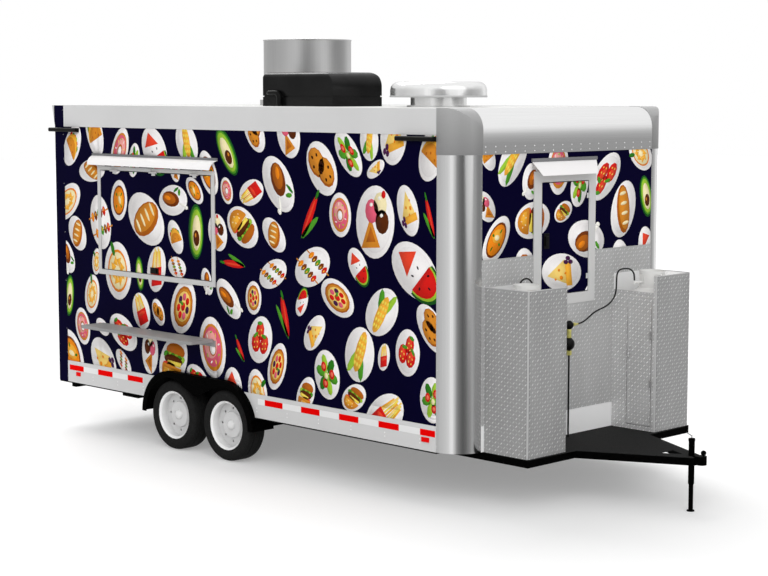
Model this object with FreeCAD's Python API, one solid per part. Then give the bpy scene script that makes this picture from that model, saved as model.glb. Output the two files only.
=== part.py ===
import FreeCAD, Part
import math
import os

# A tandem-axle concession trailer, parked on its wheels and its tongue jack.
# Millimetres. +X forward, +Y left, +Z up. The origin is on the ground, under
# the middle of the jack's foot, on the trailer's centre plane.

V = FreeCAD.Vector

# Driving dimensions of the box body
body_length = 4927.0
body_width = 2440.0
body_height = 2469.0
ride_height = 405.0
jack_to_wall = 1135.0
wall = 45.0
post_radius = 230.0
nose_radius = 150.0
skirt_height = 191.0
band_height = 186.0
cap_height = 326.0
rear_trim = 137.0
flare_depth = 40.0
band_proud = 3.0
cap_proud = 6.0
skirt_proud = 4.0
floor_thick = 61.0

# Driving dimensions of the running gear
tyre_radius = 292.0
tyre_width = 200.0
rim_radius = 203.0
bead_radius = 190.0
track_inset = 75.0
axle_spacing = 684.0
axle_pair_from_rear = 2009.0
spindle_radius = 22.0
hub_clearance = 0.05
fender_radius = 375.0
fender_thick = 5.0
fender_reach = 55.0
fender_width = 231.0
seat_gap = 0.3
arm_length = 150.0
axle_tube = 76.0
wheel_facets = 28
disc_out = 26.0
dish_out = 8.0
disc_sheet = 8.0
disc_radius = 104.0
hub_cap = 28.0
hub_depth = 92.0
hub_shell = 44.0
spindle_reach = 14.0
hand_holes = 8
hand_hole_ring = 136.0
hand_hole_radius = 11.0

# Driving dimensions of the chassis and tongue
rail_inset = 285.0
rail_width = 50.0
rail_drop = 60.0
rail_depth = 150.0
cross_height = 40.0
cross_width = 60.0
cross_count = 8
platform_depth = 420.0
platform_inset = 260.0
tongue_width = 50.0
tongue_depth = 60.0
knee_half = 436.0
tongue_tip = 1190.0
tip_half = 48.0
deck_thick = 5.0

# Driving dimensions of the jack and coupler
jack_tube_radius = 22.0
jack_leg_radius = 17.0
jack_rise = 121.0
jack_foot_radius = 28.0
jack_travel = 170.0
leg_clearance = 0.3
socket_radius = 25.7
coupler_width = 76.0
coupler_tip = 1257.0

# Driving dimensions of the front equipment
guard_thick = 3.0
guard_height = 1393.0
cabinet_depth = 415.0
cabinet_width = 436.0
cabinet_height = 1200.0
cabinet_low = 1070.0
cabinet_sheet = 3.0
cabinet_round = 22.0
cylinder_radius = 185.0
cylinder_setout = 209.0
shoulder_height = 966.0
tank_height = 1100.0
collar_radius = 100.0
collar_low = 1080.0
collar_top = 1216.0
collar_sheet = 3.0
slot_low = 1120.0
slot_high = 1190.0
slot_half = 34.0
outlet_height = 1128.0
handwheel_height = 1152.0
tank_facets = 28
hose_radius = 6.0
hose_facets = 6

# Driving dimensions of what stands on the roof
drum_setback = 3360.0
drum_side = 400.0
drum_radius = 389.0
drum_height = 573.0
drum_curb = 600.0
drum_sheet = 4.0
curb_height = 50.0
cooler_ahead = 814.0
cooler_side = -180.0
cooler_length = 860.0
cooler_width = 560.0
cooler_height = 280.0
cooler_pan = 78.0
cooler_seam = 9.0
cooler_nose = 120.0
cooler_round = 45.0
vent_ahead = 1174.0
vent_cap_radius = 386.0
vent_neck_radius = 224.0
vent_height = 200.0
vent_rim = 118.0
vent_round = 66.0
vent_facets = 40

# Serving window, shelf and awnings on the right wall
window_from_rear = 637.0
window_width = 1590.0
window_sill = 1010.0
window_drop = 333.0
window_frame = 42.0
window_head = 32.0
shelf_height = 560.0
shelf_rear_inset = 73.0
shelf_front_inset = 8.0
shelf_depth = 250.0
shelf_thick = 25.0
ledger = 9.0
awning_lift = 102.0
awning_rear = 70.0
awning_front = 40.0
awning_reach = 66.0
awning_fall = 54.0

# Small door in the front wall, between the gas cabinets
door_right_gap = 92.0
door_left_gap = 239.0
door_sill = 1003.0
door_drop = 135.0
jamb_right = 87.0
jamb_left = 80.0
door_sill_frame = 79.0
door_head_frame = 82.0
hood_lift = 86.0
hood_right = 24.0
hood_left = 7.0
hood_reach = 120.0
hood_fall = 112.0

# Entrance door in the rear wall
entrance_width = 820.0
entrance_drop = 139.0
entrance_frame = 45.0

# Lights
light_reach = 46.0
light_tall = 36.0
light_below_band = 10.0

# Hinges shared by every door
barrel_radius = 8.0
barrel_facets = 12
pin_radius = 4.0
pin_clearance = 0.05
leaf_width = 26.0
leaf_thick = 3.0
knuckle_gap = 0.4
door_gap = 6.0
flange = 8.0
door_thick = 38.0

# Places worked out from the sizes above
front_x = -jack_to_wall
rear_x = front_x - body_length
half_w = body_width / 2
base_z = ride_height
roof_z = base_z + body_height
skirt_z = base_z + skirt_height
band_z = roof_z - band_height
cap_z = roof_z - cap_height
track_half = half_w - track_inset
rail_half = half_w - rail_inset
platform_half = half_w - platform_inset
cabinet_far = platform_half
cabinet_near = cabinet_far - cabinet_width
post_x = front_x - post_radius
guard_x = front_x + guard_thick
trim_x = rear_x + rear_trim
drum_x = front_x - drum_setback
cooler_x = drum_x + cooler_ahead
vent_x = cooler_x + vent_ahead
wheel_z = tyre_radius
axle_pair_x = rear_x + axle_pair_from_rear
wheel_front_x = axle_pair_x + axle_spacing / 2
wheel_rear_x = axle_pair_x - axle_spacing / 2


def box(x0, x1, y0, y1, z0, z1):
    return Part.makeBox(x1 - x0, y1 - y0, z1 - z0, V(x0, y0, z0))


def rod(start, direction, radius, length):
    return Part.makeCylinder(radius, length, start, direction)


def face_of(points):
    return Part.Face(Part.makePolygon(points + [points[0]]))


def prism_xz(points, y0, y1):
    """Extrude an outline of (x, z) points across the trailer."""
    return face_of([V(x, y0, z) for x, z in points]).extrude(V(0, y1 - y0, 0))


def prism_xy(points, z0, z1):
    """Extrude an outline of (x, y) points upwards."""
    return face_of([V(x, y, z0) for x, y in points]).extrude(V(0, 0, z1 - z0))


def faceted(points, centre, axis, side, sides):
    """Turn an outline in flat facets, for round pieces that repeat; one flat faces along side."""
    across = axis.cross(side)
    share = 1 / math.cos(math.pi / sides)

    def corner(point, step):
        angle = 2 * math.pi * (step + 0.5) / sides
        radial = side * math.cos(angle) + across * math.sin(angle)
        return centre + axis * point[1] + radial * (point[0] * share)

    faces = []
    for a, b in zip(points, points[1:] + points[:1]):
        for step in range(sides):
            ring = [corner(a, step), corner(b, step), corner(b, step + 1), corner(a, step + 1)]
            if a[0] == 0:
                ring = ring[:3]
            if b[0] == 0:
                ring = [ring[0], ring[1], ring[-1]]
            if a[0] or b[0]:
                faces.append(face_of(ring))
    solid = Part.makeSolid(Part.makeShell(faces))
    if solid.Volume < 0:
        solid.reverse()
    return solid.removeSplitter()


def bar(start, direction, radius, length, sides=12):
    """A many-sided bar whose corners lie at the radius, for small round pieces."""
    along = V(direction).normalize()
    side = V(0, 1, 0) if abs(along.y) < 0.9 else V(0, 0, 1)
    side = (side - along * side.dot(along)).normalize()
    outline = [(0, 0), (radius, 0), (radius, length), (0, length)]
    flats = radius * math.cos(math.pi / sides)
    return faceted([(flats if r else 0, a) for r, a in outline], start, along, side, sides)


def fuse(shapes):
    whole = shapes[0].multiFuse(shapes[1:]) if len(shapes) > 1 else shapes[0]
    return whole.removeSplitter()


def mirrored(shape):
    """The same piece on the other side of the centre plane."""
    return shape.mirror(V(0, 0, 0), V(0, 1, 0))


def pair(shape):
    return Part.makeCompound([shape, mirrored(shape)])


def save(name, shape):
    shape.exportStep("parts/" + name + ".step")


# Outer form of the body


def envelope(grow):
    """The body's rounded block, grown outwards, or inwards where grow is negative."""
    x0, x1 = rear_x - grow, front_x + grow
    reach = half_w + grow
    r = post_radius + grow
    n = nose_radius + grow
    top = roof_z + grow
    bottom = base_z - grow
    block = box(x0, x1, -reach, reach, bottom, top)
    corners = [e for e in block.Edges if is_front_upright(e, x1)]
    block = block.makeFillet(r, corners)
    arc_mid = V(x1 - n + n * math.sin(math.pi / 4), 0, top - n + n * math.cos(math.pi / 4))
    start, end = V(x1 - n, 0, top), V(x1, 0, top - n)
    outline = [
        Part.makeLine(V(x0, 0, bottom), V(x0, 0, top)),
        Part.makeLine(V(x0, 0, top), start),
        Part.Arc(start, arc_mid, end).toShape(),
        Part.makeLine(end, V(x1, 0, bottom)),
        Part.makeLine(V(x1, 0, bottom), V(x0, 0, bottom)),
    ]
    side = Part.Face(Part.Wire(outline))
    side.translate(V(0, -reach, 0))
    return block.common(side.extrude(V(0, 2 * reach, 0)))


def is_front_upright(edge, x):
    a, b = edge.Vertexes[0].Point, edge.Vertexes[-1].Point
    return abs(a.x - x) < 1e-6 and abs(b.x - x) < 1e-6 and abs(a.z - b.z) > 1


def side_strip(y_low, x0, x1, z0, z1):
    """A region on both sides of the body, outside |y| = y_low."""
    far = half_w + 100
    return box(x0, x1, y_low, far, z0, z1), box(x0, x1, -far, -y_low, z0, z1)


inner_block = envelope(-wall)


def shell(grow):
    """The walls all round, from the inner face out to the given growth."""
    return envelope(grow).cut(inner_block)


plain_shell = shell(0)


def arch_outline(radius):
    """The tandem arch's face in the plane y = 0: two round ends and a level top."""
    top = wheel_z + radius
    rear, front = wheel_rear_x, wheel_front_x
    k = radius * math.sqrt(0.5)
    low = base_z - rail_drop - 300
    edges = [
        Part.makeLine(V(rear - radius, 0, low), V(rear - radius, 0, wheel_z)),
        Part.Arc(V(rear - radius, 0, wheel_z), V(rear - k, 0, wheel_z + k), V(rear, 0, top)).toShape(),
        Part.makeLine(V(rear, 0, top), V(front, 0, top)),
        Part.Arc(V(front, 0, top), V(front + k, 0, wheel_z + k), V(front + radius, 0, wheel_z)).toShape(),
        Part.makeLine(V(front + radius, 0, wheel_z), V(front + radius, 0, low)),
        Part.makeLine(V(front + radius, 0, low), V(rear - radius, 0, low)),
    ]
    return Part.Face(Part.Wire(edges))


def arch_prism(radius, y0, y1):
    face = arch_outline(radius)
    face.translate(V(0, y0, 0))
    return face.extrude(V(0, y1 - y0, 0))


arch_cut = arch_prism(fender_radius + seat_gap, -half_w - 100, half_w + 100)
arch_box_inner = track_half - tyre_width / 2 - 50


# Hinges and framed doors, made in a wall's own frame: x along the wall,
# z up, the outer face in the plane y = 0 and the outside towards -y.


def hinge(length):
    """A butt hinge about the z axis: the fixed leaf towards -x, the moving one towards +x."""
    quarter = length / 4
    fixed = []
    for z0 in (-length / 2, quarter):
        fixed.append(bar(V(0, 0, z0), V(0, 0, 1), barrel_radius, quarter, barrel_facets))
        fixed.append(box(-leaf_width, 0, barrel_radius - leaf_thick, barrel_radius, z0, z0 + quarter))
    fixed.append(rod(V(0, 0, -length / 2), V(0, 0, 1), pin_radius, length))
    reach = length / 2 - 2 * knuckle_gap
    bottom = V(0, 0, -reach / 2)
    moving = bar(bottom, V(0, 0, 1), barrel_radius, reach, barrel_facets)
    moving = moving.fuse(box(0, leaf_width, barrel_radius - leaf_thick, barrel_radius, -reach / 2, reach / 2))
    moving = moving.cut(rod(bottom, V(0, 0, 1), pin_radius + pin_clearance, reach))
    return fuse(fixed), moving


def turned_hinge(side, x, y, z, length):
    fixed, moving = hinge(length)
    for piece in (fixed, moving):
        if side == "high_x":
            piece.rotate(V(0, 0, 0), V(0, 1, 0), 180)
        if side == "top":
            piece.rotate(V(0, 0, 0), V(0, 1, 0), 90)
        piece.translate(V(x, y, z))
    return fixed, moving


def rectangle(x0, x1, z0, z1, grow, y0, y1):
    return box(x0 - grow, x1 + grow, y0, y1, z0 - grow, z1 + grow)


def framed_door(inner, outer, side, hinge_places, hinge_length, sill=True):
    """A flanged frame in the wall and a flush door in it, hinged on one side.

    inner and outer are (x0, x1, z0, z1). Gives the wall's cut, the frame and the door."""
    x0, x1, z0, z1 = inner
    ring = rectangle(*outer, 0, -flange, 0).fuse(rectangle(*inner, flange, 0, wall))
    frame = ring.cut(rectangle(*inner, 0, -flange - 1, wall + 1))
    door = rectangle(*inner, -door_gap, -flange, door_thick - flange)
    y = -flange - barrel_radius
    for place in hinge_places:
        if side == "top":
            where = (place, y, z1 - door_gap / 2)
        else:
            where = (x0 + door_gap / 2 if side == "low_x" else x1 - door_gap / 2, y, place)
        fixed, moving = turned_hinge(side, *where, hinge_length)
        frame = frame.fuse(fixed)
        door = door.fuse(moving)
    return rectangle(*inner, flange, -1, wall + 1), frame, door


def on_right(shape):
    shape.translate(V(0, -half_w, 0))
    return shape


def on_front(shape):
    shape.rotate(V(0, 0, 0), V(0, 0, 1), 90)
    shape.translate(V(front_x, 0, 0))
    return shape


def on_rear(shape):
    shape.rotate(V(0, 0, 0), V(0, 0, 1), -90)
    shape.translate(V(rear_x, 0, 0))
    return shape


# Serving window on the right side
window_x0 = rear_x + window_from_rear
window_x1 = window_x0 + window_width
window_z0 = base_z + window_sill
window_z1 = band_z - window_drop
window_outer = (window_x0, window_x1, window_z0, window_z1)
window_inner = (
    window_x0 + window_frame,
    window_x1 - window_frame,
    window_z0 + window_frame,
    window_z1 - window_head,
)
hatch_hinges = [window_x0 + 250, (window_x0 + window_x1) / 2, window_x1 - 250]
hatch_hinge_length = 100.0

# Small door in the front wall; its x is the trailer's y
front_outer = (
    door_right_gap - cabinet_near,
    cabinet_near - door_left_gap,
    base_z + door_sill,
    cap_z - door_drop,
)
front_inner = (
    front_outer[0] + jamb_right,
    front_outer[1] - jamb_left,
    front_outer[2] + door_sill_frame,
    front_outer[3] - door_head_frame,
)
front_hinges = [front_inner[2] + 118, front_inner[3] - 116]
front_hinge_length = 80.0

# Entrance door in the rear wall; its x is the trailer's -y
entrance_low = skirt_z + flange
entrance_outer = (
    -entrance_width / 2 - entrance_frame,
    entrance_width / 2 + entrance_frame,
    skirt_z,
    band_z - entrance_drop,
)
entrance_inner = (-entrance_width / 2, entrance_width / 2, entrance_low, entrance_outer[3] - entrance_frame)
entrance_hinge_length = 110.0
entrance_hinges = [entrance_low + 242, (entrance_low + entrance_inner[3]) / 2 + 2, entrance_inner[3] - 238]


def latch(width, height, depth):
    """A flush paddle latch: a tray with a raised paddle, on the plane y = 0, outside towards -y."""
    tray = box(-width / 2, width / 2, -depth / 2, 0, -height / 2, height / 2)
    paddle = box(-width * 0.3, width * 0.3, -depth, 0, -height * 0.3, height * 0.3)
    return tray.fuse(paddle).removeSplitter()


def serving_window():
    cut, frame, door = framed_door(window_inner, window_outer, "top", hatch_hinges, hatch_hinge_length)
    catch = latch(110, 52, 14)
    catch.translate(V((window_x0 + window_x1) / 2, -flange, window_inner[2] + door_gap + 30))
    return [on_right(s) for s in (cut, frame, door, catch)]


def front_hatch():
    cut, frame, door = framed_door(front_inner, front_outer, "high_x", front_hinges, front_hinge_length)
    catch = latch(60, 114, 16)
    catch.translate(V(front_inner[0] + 50, -flange, (front_inner[2] + front_inner[3]) / 2 - 13))
    return [on_front(s) for s in (cut, frame, door, catch)]


def entrance():
    cut, frame, door = framed_door(
        entrance_inner, entrance_outer, "high_x", entrance_hinges, entrance_hinge_length
    )
    plate = box(-28, 28, -10, 0, -95, 95)
    lever = bar(V(0, -55, 20), V(0, 1, 0), 10, 55)
    grip = box(-10, 125, -62, -50, 8, 32)
    handle = fuse([plate, lever, grip])
    handle.translate(V(entrance_inner[0] + 75, -flange, skirt_z + 950))
    return [on_rear(s) for s in (cut, frame, door, handle)]


window_cut, window_ring, window_door, window_latch = serving_window()
front_cut, front_ring, front_door, front_latch = front_hatch()
rear_cut, rear_ring, rear_door, rear_handle = entrance()


def make_body_panels():
    walls = plain_shell
    middle = (trim_x, post_x)
    left_zone, right_zone = side_strip(half_w - wall, *middle, skirt_z, band_z)
    save("wall_left", walls.common(left_zone).cut(arch_cut))
    save("wall_right", walls.common(right_zone).cut(arch_cut).cut(window_cut))
    front_zone = box(front_x - wall, front_x, post_radius - half_w, half_w - post_radius, skirt_z, cap_z)
    save("wall_front", front_zone.cut(front_cut))
    rear_zone = box(rear_x, rear_x + wall, rear_trim - half_w, half_w - rear_trim, skirt_z, band_z)
    save("wall_rear", rear_zone.cut(rear_cut))

    left_zone, right_zone = side_strip(half_w - post_radius, post_x, front_x + 50, base_z, cap_z)
    save("corner_posts", Part.makeCompound([walls.common(left_zone), walls.common(right_zone)]))
    left_zone, right_zone = side_strip(half_w - post_radius, post_x, front_x + 50, cap_z, roof_z + 50)
    caps = shell(cap_proud)
    save("corner_caps", Part.makeCompound([caps.common(left_zone), caps.common(right_zone)]))
    banded = shell(band_proud)
    nose_zone = box(post_x, front_x + 50, post_radius - half_w, half_w - post_radius, cap_z, roof_z + 50)
    save("nose_cap", banded.common(nose_zone))
    left_zone, right_zone = side_strip(half_w - wall, *middle, band_z, roof_z + 50)
    save("top_bands", Part.makeCompound([banded.common(left_zone), banded.common(right_zone)]))
    save("roof_panel", make_roof())
    save("rear_frame", make_rear_frame())

    skirted = shell(skirt_proud)
    left_zone, right_zone = side_strip(half_w - wall, *middle, base_z, skirt_z)
    skirts = [skirted.common(z).cut(arch_cut) for z in (left_zone, right_zone)]
    save("side_skirts", Part.makeCompound(skirts))
    kick = box(front_x - wall, front_x, post_radius - half_w, half_w - post_radius, base_z, skirt_z)
    sill = box(rear_x, rear_x + wall, rear_trim - half_w, half_w - rear_trim, base_z, skirt_z)
    save("end_sills", Part.makeCompound([kick, sill]))


def make_roof():
    """One flat panel between the bands, from the rear frame to the nose cap."""
    middle = box(trim_x, post_x, wall - half_w, half_w - wall, roof_z - wall, roof_z)
    tail = box(rear_x + wall, trim_x, rear_trim - half_w, half_w - rear_trim, roof_z - wall, roof_z)
    return fuse([middle, tail])


def make_rear_frame():
    """The rear corner trims and the header that joins them, flaring out at the top."""
    left_zone, right_zone = side_strip(half_w - rear_trim, rear_x, trim_x, base_z, roof_z)
    header = box(rear_x, rear_x + wall, rear_trim - half_w, half_w - rear_trim, band_z, roof_z)
    flare = prism_xz([(rear_x, band_z), (rear_x, roof_z), (rear_x - flare_depth, roof_z)], -half_w, half_w)
    corners = [plain_shell.common(left_zone), plain_shell.common(right_zone)]
    return fuse(corners + [header, flare])


def make_stone_guard():
    """Tread plate over the lower front wall, cut round the small door's frame."""
    reach = half_w - post_radius
    plate = box(front_x, guard_x, -reach, reach, skirt_z, base_z + guard_height)
    y0, y1, z0, z1 = front_outer
    save("stone_guard", plate.cut(box(front_x - 1, guard_x + 1, y0, y1, z0, z1)))


# Floor and running gear


def arch_core(radius):
    """The space of both wheel boxes, out to the given radius."""
    near = arch_box_inner - fender_thick - seat_gap
    solid = arch_prism(radius, near, half_w)
    return solid.fuse(mirrored(solid))


def make_floor():
    """The load floor, cut round the wheel boxes."""
    slab = box(rear_x, front_x, -half_w, half_w, skirt_z - floor_thick, skirt_z)
    floor = slab.common(inner_block)
    save("floor_panel", floor.cut(arch_core(fender_radius + fender_thick + 2 * seat_gap)))


def make_wheel_boxes():
    """A sheet box over each pair of wheels, open below and towards the wheels."""
    outer = fender_radius + seat_gap + fender_thick
    near, far = arch_box_inner - fender_thick, half_w - wall
    sheet = arch_prism(outer, near, far).cut(arch_prism(fender_radius + seat_gap, arch_box_inner, far + 1))
    above = box(rear_x, front_x, 0, half_w, base_z, roof_z)
    save("wheel_boxes", pair(sheet.common(above)))


def make_rails():
    """Two box rails, the edge angles under the skirts and the outrigger stubs."""
    low, high = base_z - rail_drop, base_z - rail_drop + rail_depth
    y0, y1 = rail_half - rail_width / 2, rail_half + rail_width / 2
    pieces = [box(rear_x + wall, front_x - wall, y0, y1, low, high)]
    edge = box(rear_x, post_x, half_w - 60, half_w - 4, base_z - 12, base_z)
    pieces.append(edge.cut(arch_prism(fender_radius + seat_gap, half_w - 100, half_w + 100)))
    fender_end = wheel_rear_x - fender_radius
    stub_low = base_z - 50
    pieces.append(box(rear_x + 147, rear_x + 207, y1, half_w - 30, stub_low, base_z))
    pieces.append(box(fender_end - 425, fender_end - 205, y1, half_w - 56, stub_low, base_z))
    save("main_rails", pair(fuse(pieces)))


def make_cross_members():
    """Box tubes from skirt to skirt that carry the floor, shorter between the wheel boxes."""
    z0 = base_z - rail_drop + rail_depth
    z1 = z0 + cross_height
    first, last = rear_x + wall + 60, front_x - wall - 60 - cross_width
    step = (last - first) / (cross_count - 1)
    clear = arch_core(fender_radius + fender_thick + 2 * seat_gap)
    bars = []
    for i in range(cross_count):
        x = first + i * step
        bar = box(x, x + cross_width, wall - half_w, half_w - wall, z0, z1)
        bars.append(bar.common(inner_block).cut(clear))
    save("cross_members", Part.makeCompound(bars))


def leg_outer(x):
    """The half width of the tongue's outer edge at x in front of the front wall."""
    share = (x - platform_depth) / (tongue_tip - platform_depth)
    return knee_half + (tip_half - knee_half) * share


def make_tongue():
    """The platform's edge bars and the two rails that run together to the coupler."""
    z0, z1 = base_z - tongue_depth, base_z - deck_thick
    x_bar = front_x + platform_depth
    inner = platform_half - tongue_width
    side = box(front_x - wall, x_bar, inner, platform_half, z0, z1)
    bar = box(x_bar - tongue_width, x_bar, 0, inner, z0, z1)
    slope = math.atan2(knee_half - tip_half, tongue_tip - platform_depth)
    across = tongue_width / math.cos(slope)
    back = -60.0
    outline = []
    for x, inset in ((back, 0), (tongue_tip, 0), (tongue_tip, across), (back, across)):
        outline.append((front_x + x, max(leg_outer(x) - inset, 0) if x > back else leg_outer(x) - inset))
    leg = prism_xy(outline, z0, z1)
    gusset_x = 1080.0
    gusset = prism_xy(
        [(front_x + gusset_x, 0), (front_x + gusset_x, leg_outer(gusset_x)),
         (front_x + tongue_tip, tip_half), (front_x + tongue_tip, 0)], z0, z1)
    half = fuse([side, bar, leg, gusset])
    whole = fuse([half, mirrored(half)])
    save("tongue_frame", whole.cut(rod(V(0, 0, z0 - 1), V(0, 0, 1), jack_tube_radius, tongue_depth + 2)))


def make_deck():
    """Sheet deck over the platform and tongue, with its open triangle behind the jack."""
    z0 = base_z - deck_thick
    tip = tongue_tip - 8
    edge = [(0, platform_half), (platform_depth, platform_half), (platform_depth + 14, knee_half),
            (tip, leg_outer(tip))]
    outline = [(front_x + x, y) for x, y in edge]
    outline += [(front_x + x, -y) for x, y in reversed(edge)]
    plate = prism_xy(outline, z0, base_z)
    hole = prism_xy([(front_x + 1065, 0), (front_x + 915, 78), (front_x + 915, -78)], z0 - 1, base_z + 1)
    post = rod(V(0, 0, z0 - 1), V(0, 0, 1), jack_tube_radius, deck_thick + 2)
    save("deck_plate", plate.cut(hole).cut(post))


def make_coupler():
    """The ball coupler on the tongue's end, with the round grip of its latch."""
    x0, x1 = front_x + tongue_tip, front_x + coupler_tip
    y = coupler_width / 2
    z0, z1 = base_z - 55, base_z + 8
    block = box(x0, x1, -y, y, z0, z1)
    tips = [e for e in block.Edges if is_front_upright(e, x1)]
    block = block.makeFillet(y - 4, tips)
    tail = box(x0 - 28, x0, -30, 30, base_z, z1)
    ball_x = x1 - y
    socket = rod(V(ball_x, 0, z0 - 1), V(0, 0, 1), socket_radius, 21)
    crown = bar(V(ball_x, 0, z0 + 19), V(0, 0, 1), 0.7 * socket_radius, 15, 16)
    body = fuse([block, tail]).cut(socket).cut(crown)
    stem_x = x1 - 19
    stem = bar(V(stem_x, 0, z1 - 2), V(0, 0, 1), 5, 12, 8)
    ball = [(0, -20), (12, -16), (19, -6), (19, 6), (12, 16), (0, 20)]
    grip = faceted(ball, V(stem_x, 0, base_z + 32), V(0, 0, 1), V(1, 0, 0), 16)
    save("coupler", fuse([body, stem, grip]))


def make_jack():
    """A round tongue jack: the fixed outer tube, its crank, and the sliding leg with its foot."""
    top = base_z + jack_rise
    bottom = base_z - rail_drop - 145
    bore = jack_leg_radius + leg_clearance
    tube = rod(V(0, 0, bottom), V(0, 0, 1), jack_tube_radius, top - bottom)
    tube = tube.cut(rod(V(0, 0, bottom - 1), V(0, 0, 1), bore, top - bottom - 4))
    save("jack_tube", tube)
    wire = 4.0
    knee = V(0, 0, top + 22)
    swing = V(-52, 0, 20)
    crank = [bar(V(0, 0, top), V(0, 0, 1), wire, 26, 8), bar(knee, swing, wire, swing.Length, 8)]
    save("jack_crank", fuse(crank))
    foot = 8.0
    leg = rod(V(0, 0, foot), V(0, 0, 1), jack_leg_radius, top - foot - jack_travel - 8)
    plate = rod(V(0, 0, 0), V(0, 0, 1), jack_foot_radius, foot)
    save("jack_leg", fuse([leg, plate]))


def make_axle(name, wheel_x):
    """A torsion axle: the square tube under the rails, a trailing arm and a spindle at each end."""
    z_top = base_z - rail_drop
    z_mid = z_top - axle_tube / 2
    x_tube = wheel_x + arm_length
    end = track_half - tyre_width / 2 - 60
    half_tube = box(x_tube - axle_tube / 2, x_tube + axle_tube / 2, 0, end, z_mid - axle_tube / 2, z_top)
    arm_thick = 24.0
    eye = 36.0
    start, finish = V(x_tube, end, z_mid), V(wheel_x, end, wheel_z)
    run = finish - start
    arm = [bar(p, V(0, 1, 0), eye, arm_thick, 16) for p in (start, finish)]
    side = V(-run.z, 0, run.x).normalize() * eye
    outline = [start + side, finish + side, finish - side, start - side]
    arm.append(face_of(outline).extrude(V(0, arm_thick, 0)))
    spindle_start = end + arm_thick
    spindle = rod(V(wheel_x, spindle_start, wheel_z), V(0, 1, 0), spindle_radius, spindle_end - spindle_start)
    half = fuse([half_tube] + arm + [spindle])
    save(name, fuse([half, mirrored(half)]))


spindle_end = track_half + spindle_reach


def wheel_profile():
    """The steel wheel's section as (radius, outboard) from its middle plane: cap, disc, dish, rim."""
    lip, seat, barrel = rim_radius, bead_radius, bead_radius - 8
    disc, dish, t = disc_out, dish_out, disc_sheet
    cap = [(0, disc + hub_cap), (24, disc + hub_cap - 3), (38, disc + hub_cap - 12), (hub_shell, disc)]
    front = [(disc_radius, disc), (disc_radius + t, dish), (barrel, dish)]
    rim = [(barrel, 70), (lip - 3, 84), (lip, 79), (seat, 75)]
    back = [(barrel, dish - t), (disc_radius + t / 2, dish - t), (disc_radius - t / 2, disc - t),
            (hub_shell, disc - t), (hub_shell, -hub_depth), (0, -hub_depth)]
    return cap + front + rim + [(radius, -a) for radius, a in reversed(rim)] + back


def tyre_profile():
    """The tyre's section outside the rim, from bead to bead."""
    half, r = tyre_width / 2, tyre_radius
    outer = [(bead_radius, 75), (rim_radius, 79), (222, 96), (244, half), (272, 95), (r - 5, 80), (r, 62)]
    return outer + [(radius, -a) for radius, a in reversed(outer)]


def make_wheel(name, wheel_x, side):
    """One wheel and its tyre; side is +1 on the left and -1 on the right."""
    centre = V(wheel_x, side * track_half, wheel_z)
    outboard = V(0, side, 0)
    up = V(0, 0, 1)
    rim = faceted(wheel_profile(), centre, outboard, up, wheel_facets)
    back = centre - outboard * (hub_depth + 1)
    rim = rim.cut(rod(back, outboard, spindle_radius + hub_clearance, hub_depth + spindle_reach + 3))
    for i in range(hand_holes):
        angle = 2 * math.pi * i / hand_holes
        behind = centre + outboard * (dish_out - disc_sheet - 1)
        spot = behind + V(math.cos(angle), 0, math.sin(angle)) * hand_hole_ring
        rim = rim.cut(bar(spot, outboard, hand_hole_radius, disc_sheet + 2, 8))
    save("wheel_" + name, rim)
    save("tyre_" + name, faceted(tyre_profile(), centre, outboard, up, wheel_facets))


def make_fenders():
    """A tandem fender: the band over both tyres and the outer face cut round them."""
    outer = half_w + fender_reach
    inner = outer - fender_width
    ends = box(rear_x, front_x, 0, outer + 1, wheel_z, roof_z)
    band = arch_prism(fender_radius, inner, outer)
    band = band.cut(arch_prism(fender_radius - fender_thick, inner - 1, outer + 1))
    face = arch_prism(fender_radius - fender_thick / 2, outer - fender_thick, outer)
    tyre_cut = tyre_radius + 30
    for x in (wheel_rear_x, wheel_front_x):
        face = face.cut(rod(V(x, 0, wheel_z), V(0, 1, 0), tyre_cut, outer + 1))
    middle = (wheel_rear_x + wheel_front_x) / 2
    valley = 206.0
    shoulder = 268.0
    spread = axle_spacing / 2 - math.sqrt(tyre_cut**2 - shoulder**2)
    low = wheel_z - 50
    notch = prism_xz(
        [(middle - axle_spacing / 2, low), (middle - axle_spacing / 2, wheel_z + shoulder),
         (middle - spread, wheel_z + shoulder), (middle, wheel_z + valley),
         (middle + spread, wheel_z + shoulder), (middle + axle_spacing / 2, wheel_z + shoulder),
         (middle + axle_spacing / 2, low)], outer - fender_thick - 1, outer + 1)
    save("fenders", pair(fuse([band, face.cut(notch)]).common(ends)))


# Front equipment


def rounded_box(x0, x1, y0, y1, z0, z1, radius):
    """A box with its two front upright edges rounded."""
    block = box(x0, x1, y0, y1, z0, z1)
    return block.makeFillet(radius, [e for e in block.Edges if is_front_upright(e, x1)])


cabinet_x = front_x + cabinet_depth
cabinet_hinge_x = cabinet_x - 43
cabinet_door_back = cabinet_x - 270
cabinet_door_z0 = base_z + 40
cabinet_door_z1 = base_z + cabinet_low - 40


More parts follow.
